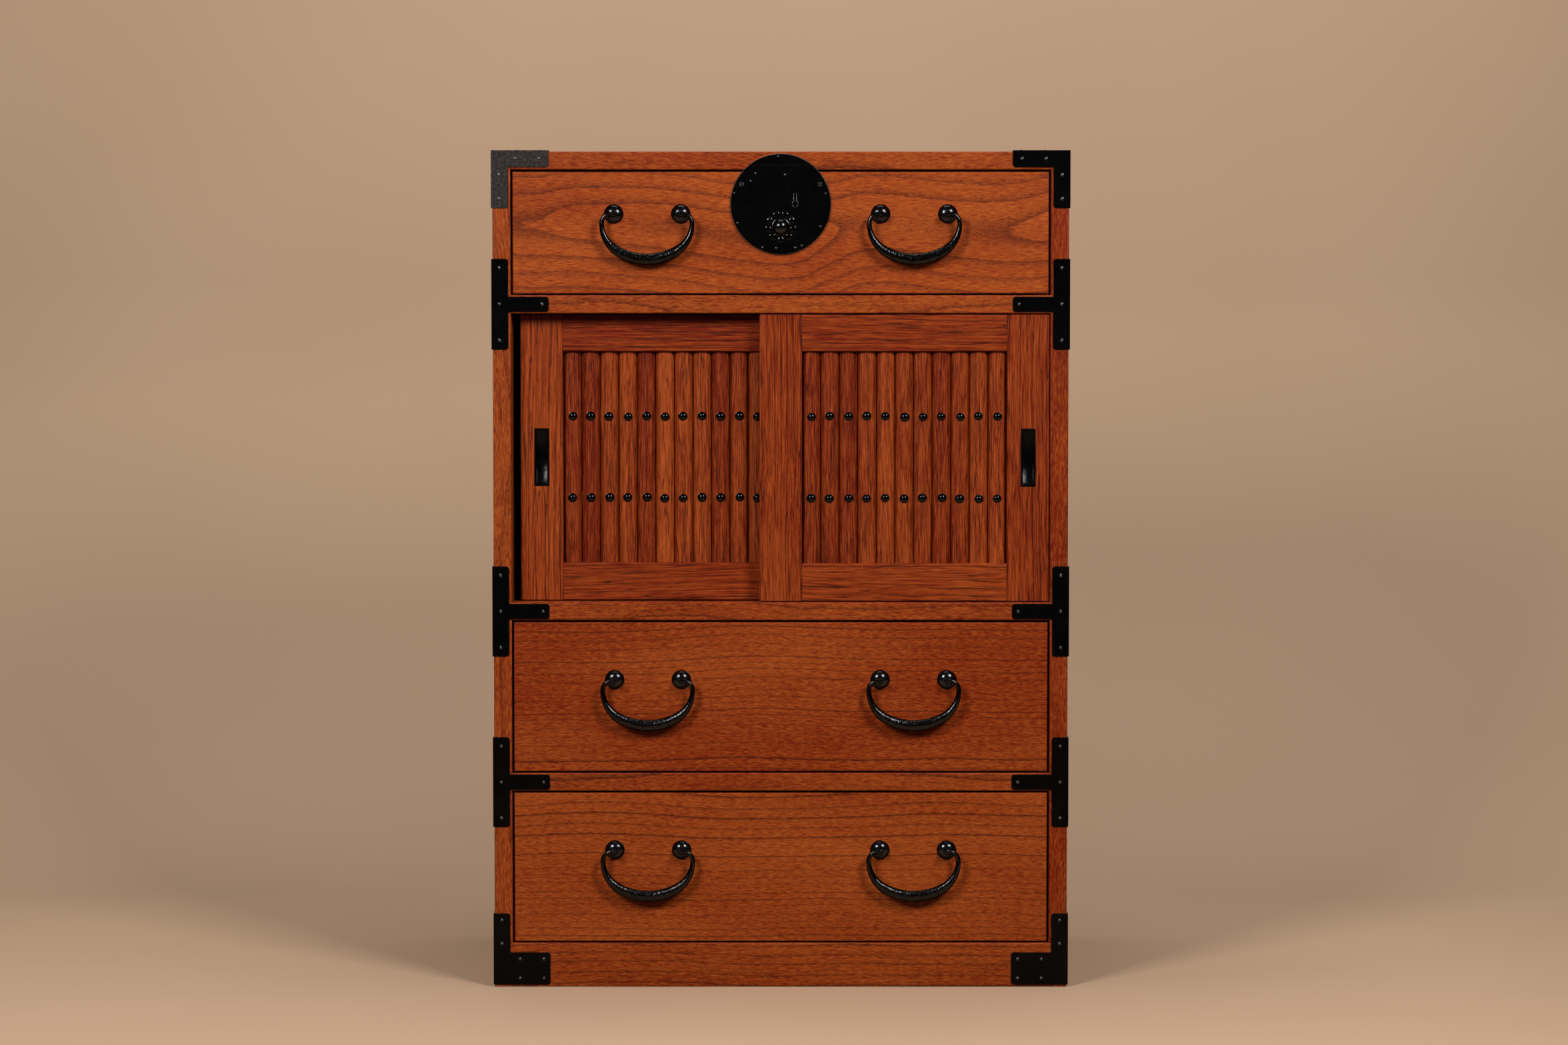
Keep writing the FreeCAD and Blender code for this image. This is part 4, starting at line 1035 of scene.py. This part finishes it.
corners = (
    (-SHADE_SLEEVE_HALF, SHADE_SLEEVE_FROM), (-SHADE_SLEEVE_HALF, SHADE_SLEEVE_TO),
    (SHADE_SLEEVE_HALF, SHADE_SLEEVE_TO), (SHADE_SLEEVE_HALF, SHADE_SLEEVE_FROM),
)
loop = key_outline(BEAD_OUT, 0.0)
around = len(loop)
links = [(i, (i + 1) % around) for i in range(around)]
shape = bmesh.new()
rings = [[shape.verts.new(p) for p in key_outline(*corner)] for corner in corners]
for ring, after in zip(rings, rings[1:] + rings[:1]):
    for i, j in links:
        shape.faces.new((ring[i], ring[j], after[j], after[i]))
bmesh.ops.recalc_face_normals(shape, faces=shape.faces)
# The black sleeve darkens the hole's walls: painted shade.
shade_sleeve = new_piece("key_shade_sleeve", to_mesh("key_shade_sleeve", shape))
shade_sleeve.data.materials.append(pitted_iron)
bead = forge(
    "key_bead", loop, links, [BEAD_HALF] * around, [1.0] * around, Sides=10, Material=bright_iron
)
for piece in (shade_sleeve, bead):
    on_lock(piece)
print("key outline points", around)

# %% Steel inside the lock
# Filed steel: bright grey metal with fine scratches along the file's way.
SCRATCH_MM = (1000 / 60, 1000 / 900)
steel, t, shader = new_material("filed_lock_steel")
filed = streaks(t, add(t, "TexCoord").outputs["Object"], *SCRATCH_MM, 3.0)
bright = add(t, "Mix", {0: filed, 6: linear("#8d8a84"), 7: linear("#5f5c58")}, data_type="RGBA")
add(t, shader, {
    "Base Color": bright.outputs[2], "Metallic": 1.0,
    "Roughness": add(t, "MapRange", [filed, 0.3, 0.7, 0.3, 0.5]),
    "Normal": add(t, "Bump", {"Height": filed, "Strength": 0.4, "Distance": 0.05 * MM}),
})
for node in ("lock_case", "lock_bolt"):
    finish_packed(node, steel)
print("steel on lock case and bolt")

# %% [markdown]
# ## Finger pulls
#
# A sliding door has no room for a handle, so an iron cup with a raised rim is let into each outer stile. The
# packed cup is right, so it gets filed edges and a hammered black finish.

# %% Two pulls
for door in DOORS:
    piece = rounded_copy(door + "_pull", IRON_EDGE, pitted_iron, curved=30.0)
    stand_for(piece, door + "_pull")

# %% [markdown]
# ## Floor, light and camera
#
# The chest stands on a plain pale sweep that rises behind it, lit by two soft boxes above the camera, to its
# left and right, and one over the backdrop. The world stays dim, because black lacquer shows whatever stands
# in front of it. So the sweep is pale only to the camera and in gloss, and its colour is painted darker
# towards
# the front of the picture: painted shade, as if the lamps' light fell off there. Seen from behind it is clear,
# to show the back too.

# %% The sweep
# Between these places in front of the chest, in metres, the paper goes from its own colour to a darker one:
# painted shade for light that falls off towards the front.
PALE_TO, DARK_FROM = -0.7, -2.2
CLOUDS_TO_A_METRE = 1.4
paper, t, shader = new_material("pale_paper_sweep")
place = add(t, "TexCoord").outputs["Object"]
cloud = add(t, "TexNoise", {"Vector": place, "Scale": CLOUDS_TO_A_METRE})
shade = add(t, "Mix", {0: cloud, 6: linear("#cbaa8d"), 7: linear("#bf9e80")}, data_type="RGBA")
toward = add(t, "SeparateXYZ", [place]).outputs["Y"]
near = add(t, "MapRange", [toward, DARK_FROM, PALE_TO])
rays = add(t, "LightPath").outputs
seen = add(t, "Math MAXIMUM", [rays["Is Camera Ray"], rays["Is Glossy Ray"]])
seen = add(t, "Math MAXIMUM", [seen, rays["Is Transmission Ray"]])
# First the paper is painted darker towards the front, as shade; then it is darker to every ray but the
# camera's, gloss and transmission.
for share, otherwise in ((near, "#74654f"), (seen, "#58483a")):
    shade = add(t, "Mix", {0: share, 6: linear(otherwise), 7: shade.outputs[2]}, data_type="RGBA")
add(t, shader, {"Base Color": shade.outputs[2], "Roughness": 0.9, "Specular IOR Level": 0.1})
behind = add(t, "NewGeometry").outputs["Backfacing"]
clear = add(t, "BsdfTransparent")
mixed = add(t, "MixShader", [behind, shader, clear])
add(t, t.nodes["Material Output"], {"Surface": mixed})

SWEEP_FRONT, SWEEP_Y, SWEEP_BEND, SWEEP_TOP, SWEEP_HALF = -7.0, 1.5, 0.9, 4.0, 6.0
BEND_STEPS = 12
profile = [(SWEEP_FRONT, 0.0), (SWEEP_Y - SWEEP_BEND, 0.0)]
for step in range(1, BEND_STEPS + 1):
    angle = math.radians(90.0 * step / BEND_STEPS)
    profile.append((SWEEP_Y - SWEEP_BEND + SWEEP_BEND * math.sin(angle), SWEEP_BEND * (1 - math.cos(angle))))
profile.append((SWEEP_Y, SWEEP_TOP))
mesh = bpy.data.meshes.new("sweep")
mesh.from_pydata(
    [(x, y, z) for y, z in profile for x in (-SWEEP_HALF, SWEEP_HALF)], [],
    [(2 * i, 2 * i + 1, 2 * i + 3, 2 * i + 2) for i in range(len(profile) - 1)],
)
mesh.shade_smooth()
mesh.materials.append(paper)
new_piece("sweep", mesh)
print("sweep rows", len(profile))

# %% Lamps and world
CHEST_MIDDLE = (0.0, -0.2, 0.55)
BACKDROP = (0.0, 1.3, 0.6)


def soft_box(name, place, aim, size, watts):
    """A square area lamp at a place, turned to what it lights."""
    lamp = bpy.data.lights.new(name, "AREA")
    lamp.size = size
    lamp.energy = watts
    holder = new_piece(name, lamp)
    holder.location = place
    holder.rotation_euler = (Vector(aim) - Vector(place)).to_track_quat("-Z", "Y").to_euler()


soft_box("left_box", (-1.54, -2.66, 1.95), CHEST_MIDDLE, 0.85, 63.0)
soft_box("right_box", (1.45, -2.32, 2.1), CHEST_MIDDLE, 0.85, 57.0)
soft_box("back_box", (0.0, 0.2, 3.4), BACKDROP, 1.6, 40.0)
world = bpy.data.worlds.new("dim_studio")
world.use_nodes = True
t = world.node_tree
add(t, t.nodes["Background"], {"Color": linear("#b8b4ae"), "Strength": 0.12})
bpy.context.scene.world = world
bpy.context.scene.view_settings.view_transform = "Standard"

# %% Camera
# It stands well back and looks down a little, as in the photo.
LOOKS_DOWN = 2.65
camera = new_piece("camera", bpy.data.cameras.new("camera"))
camera.data.lens = 85.0
camera.location = (0.004, -4.6957, 0.778)
camera.rotation_euler = (math.radians(90.0 - LOOKS_DOWN), 0.0, 0.0)
bpy.context.scene.camera = camera
print("camera", [round(v, 3) for v in camera.location])
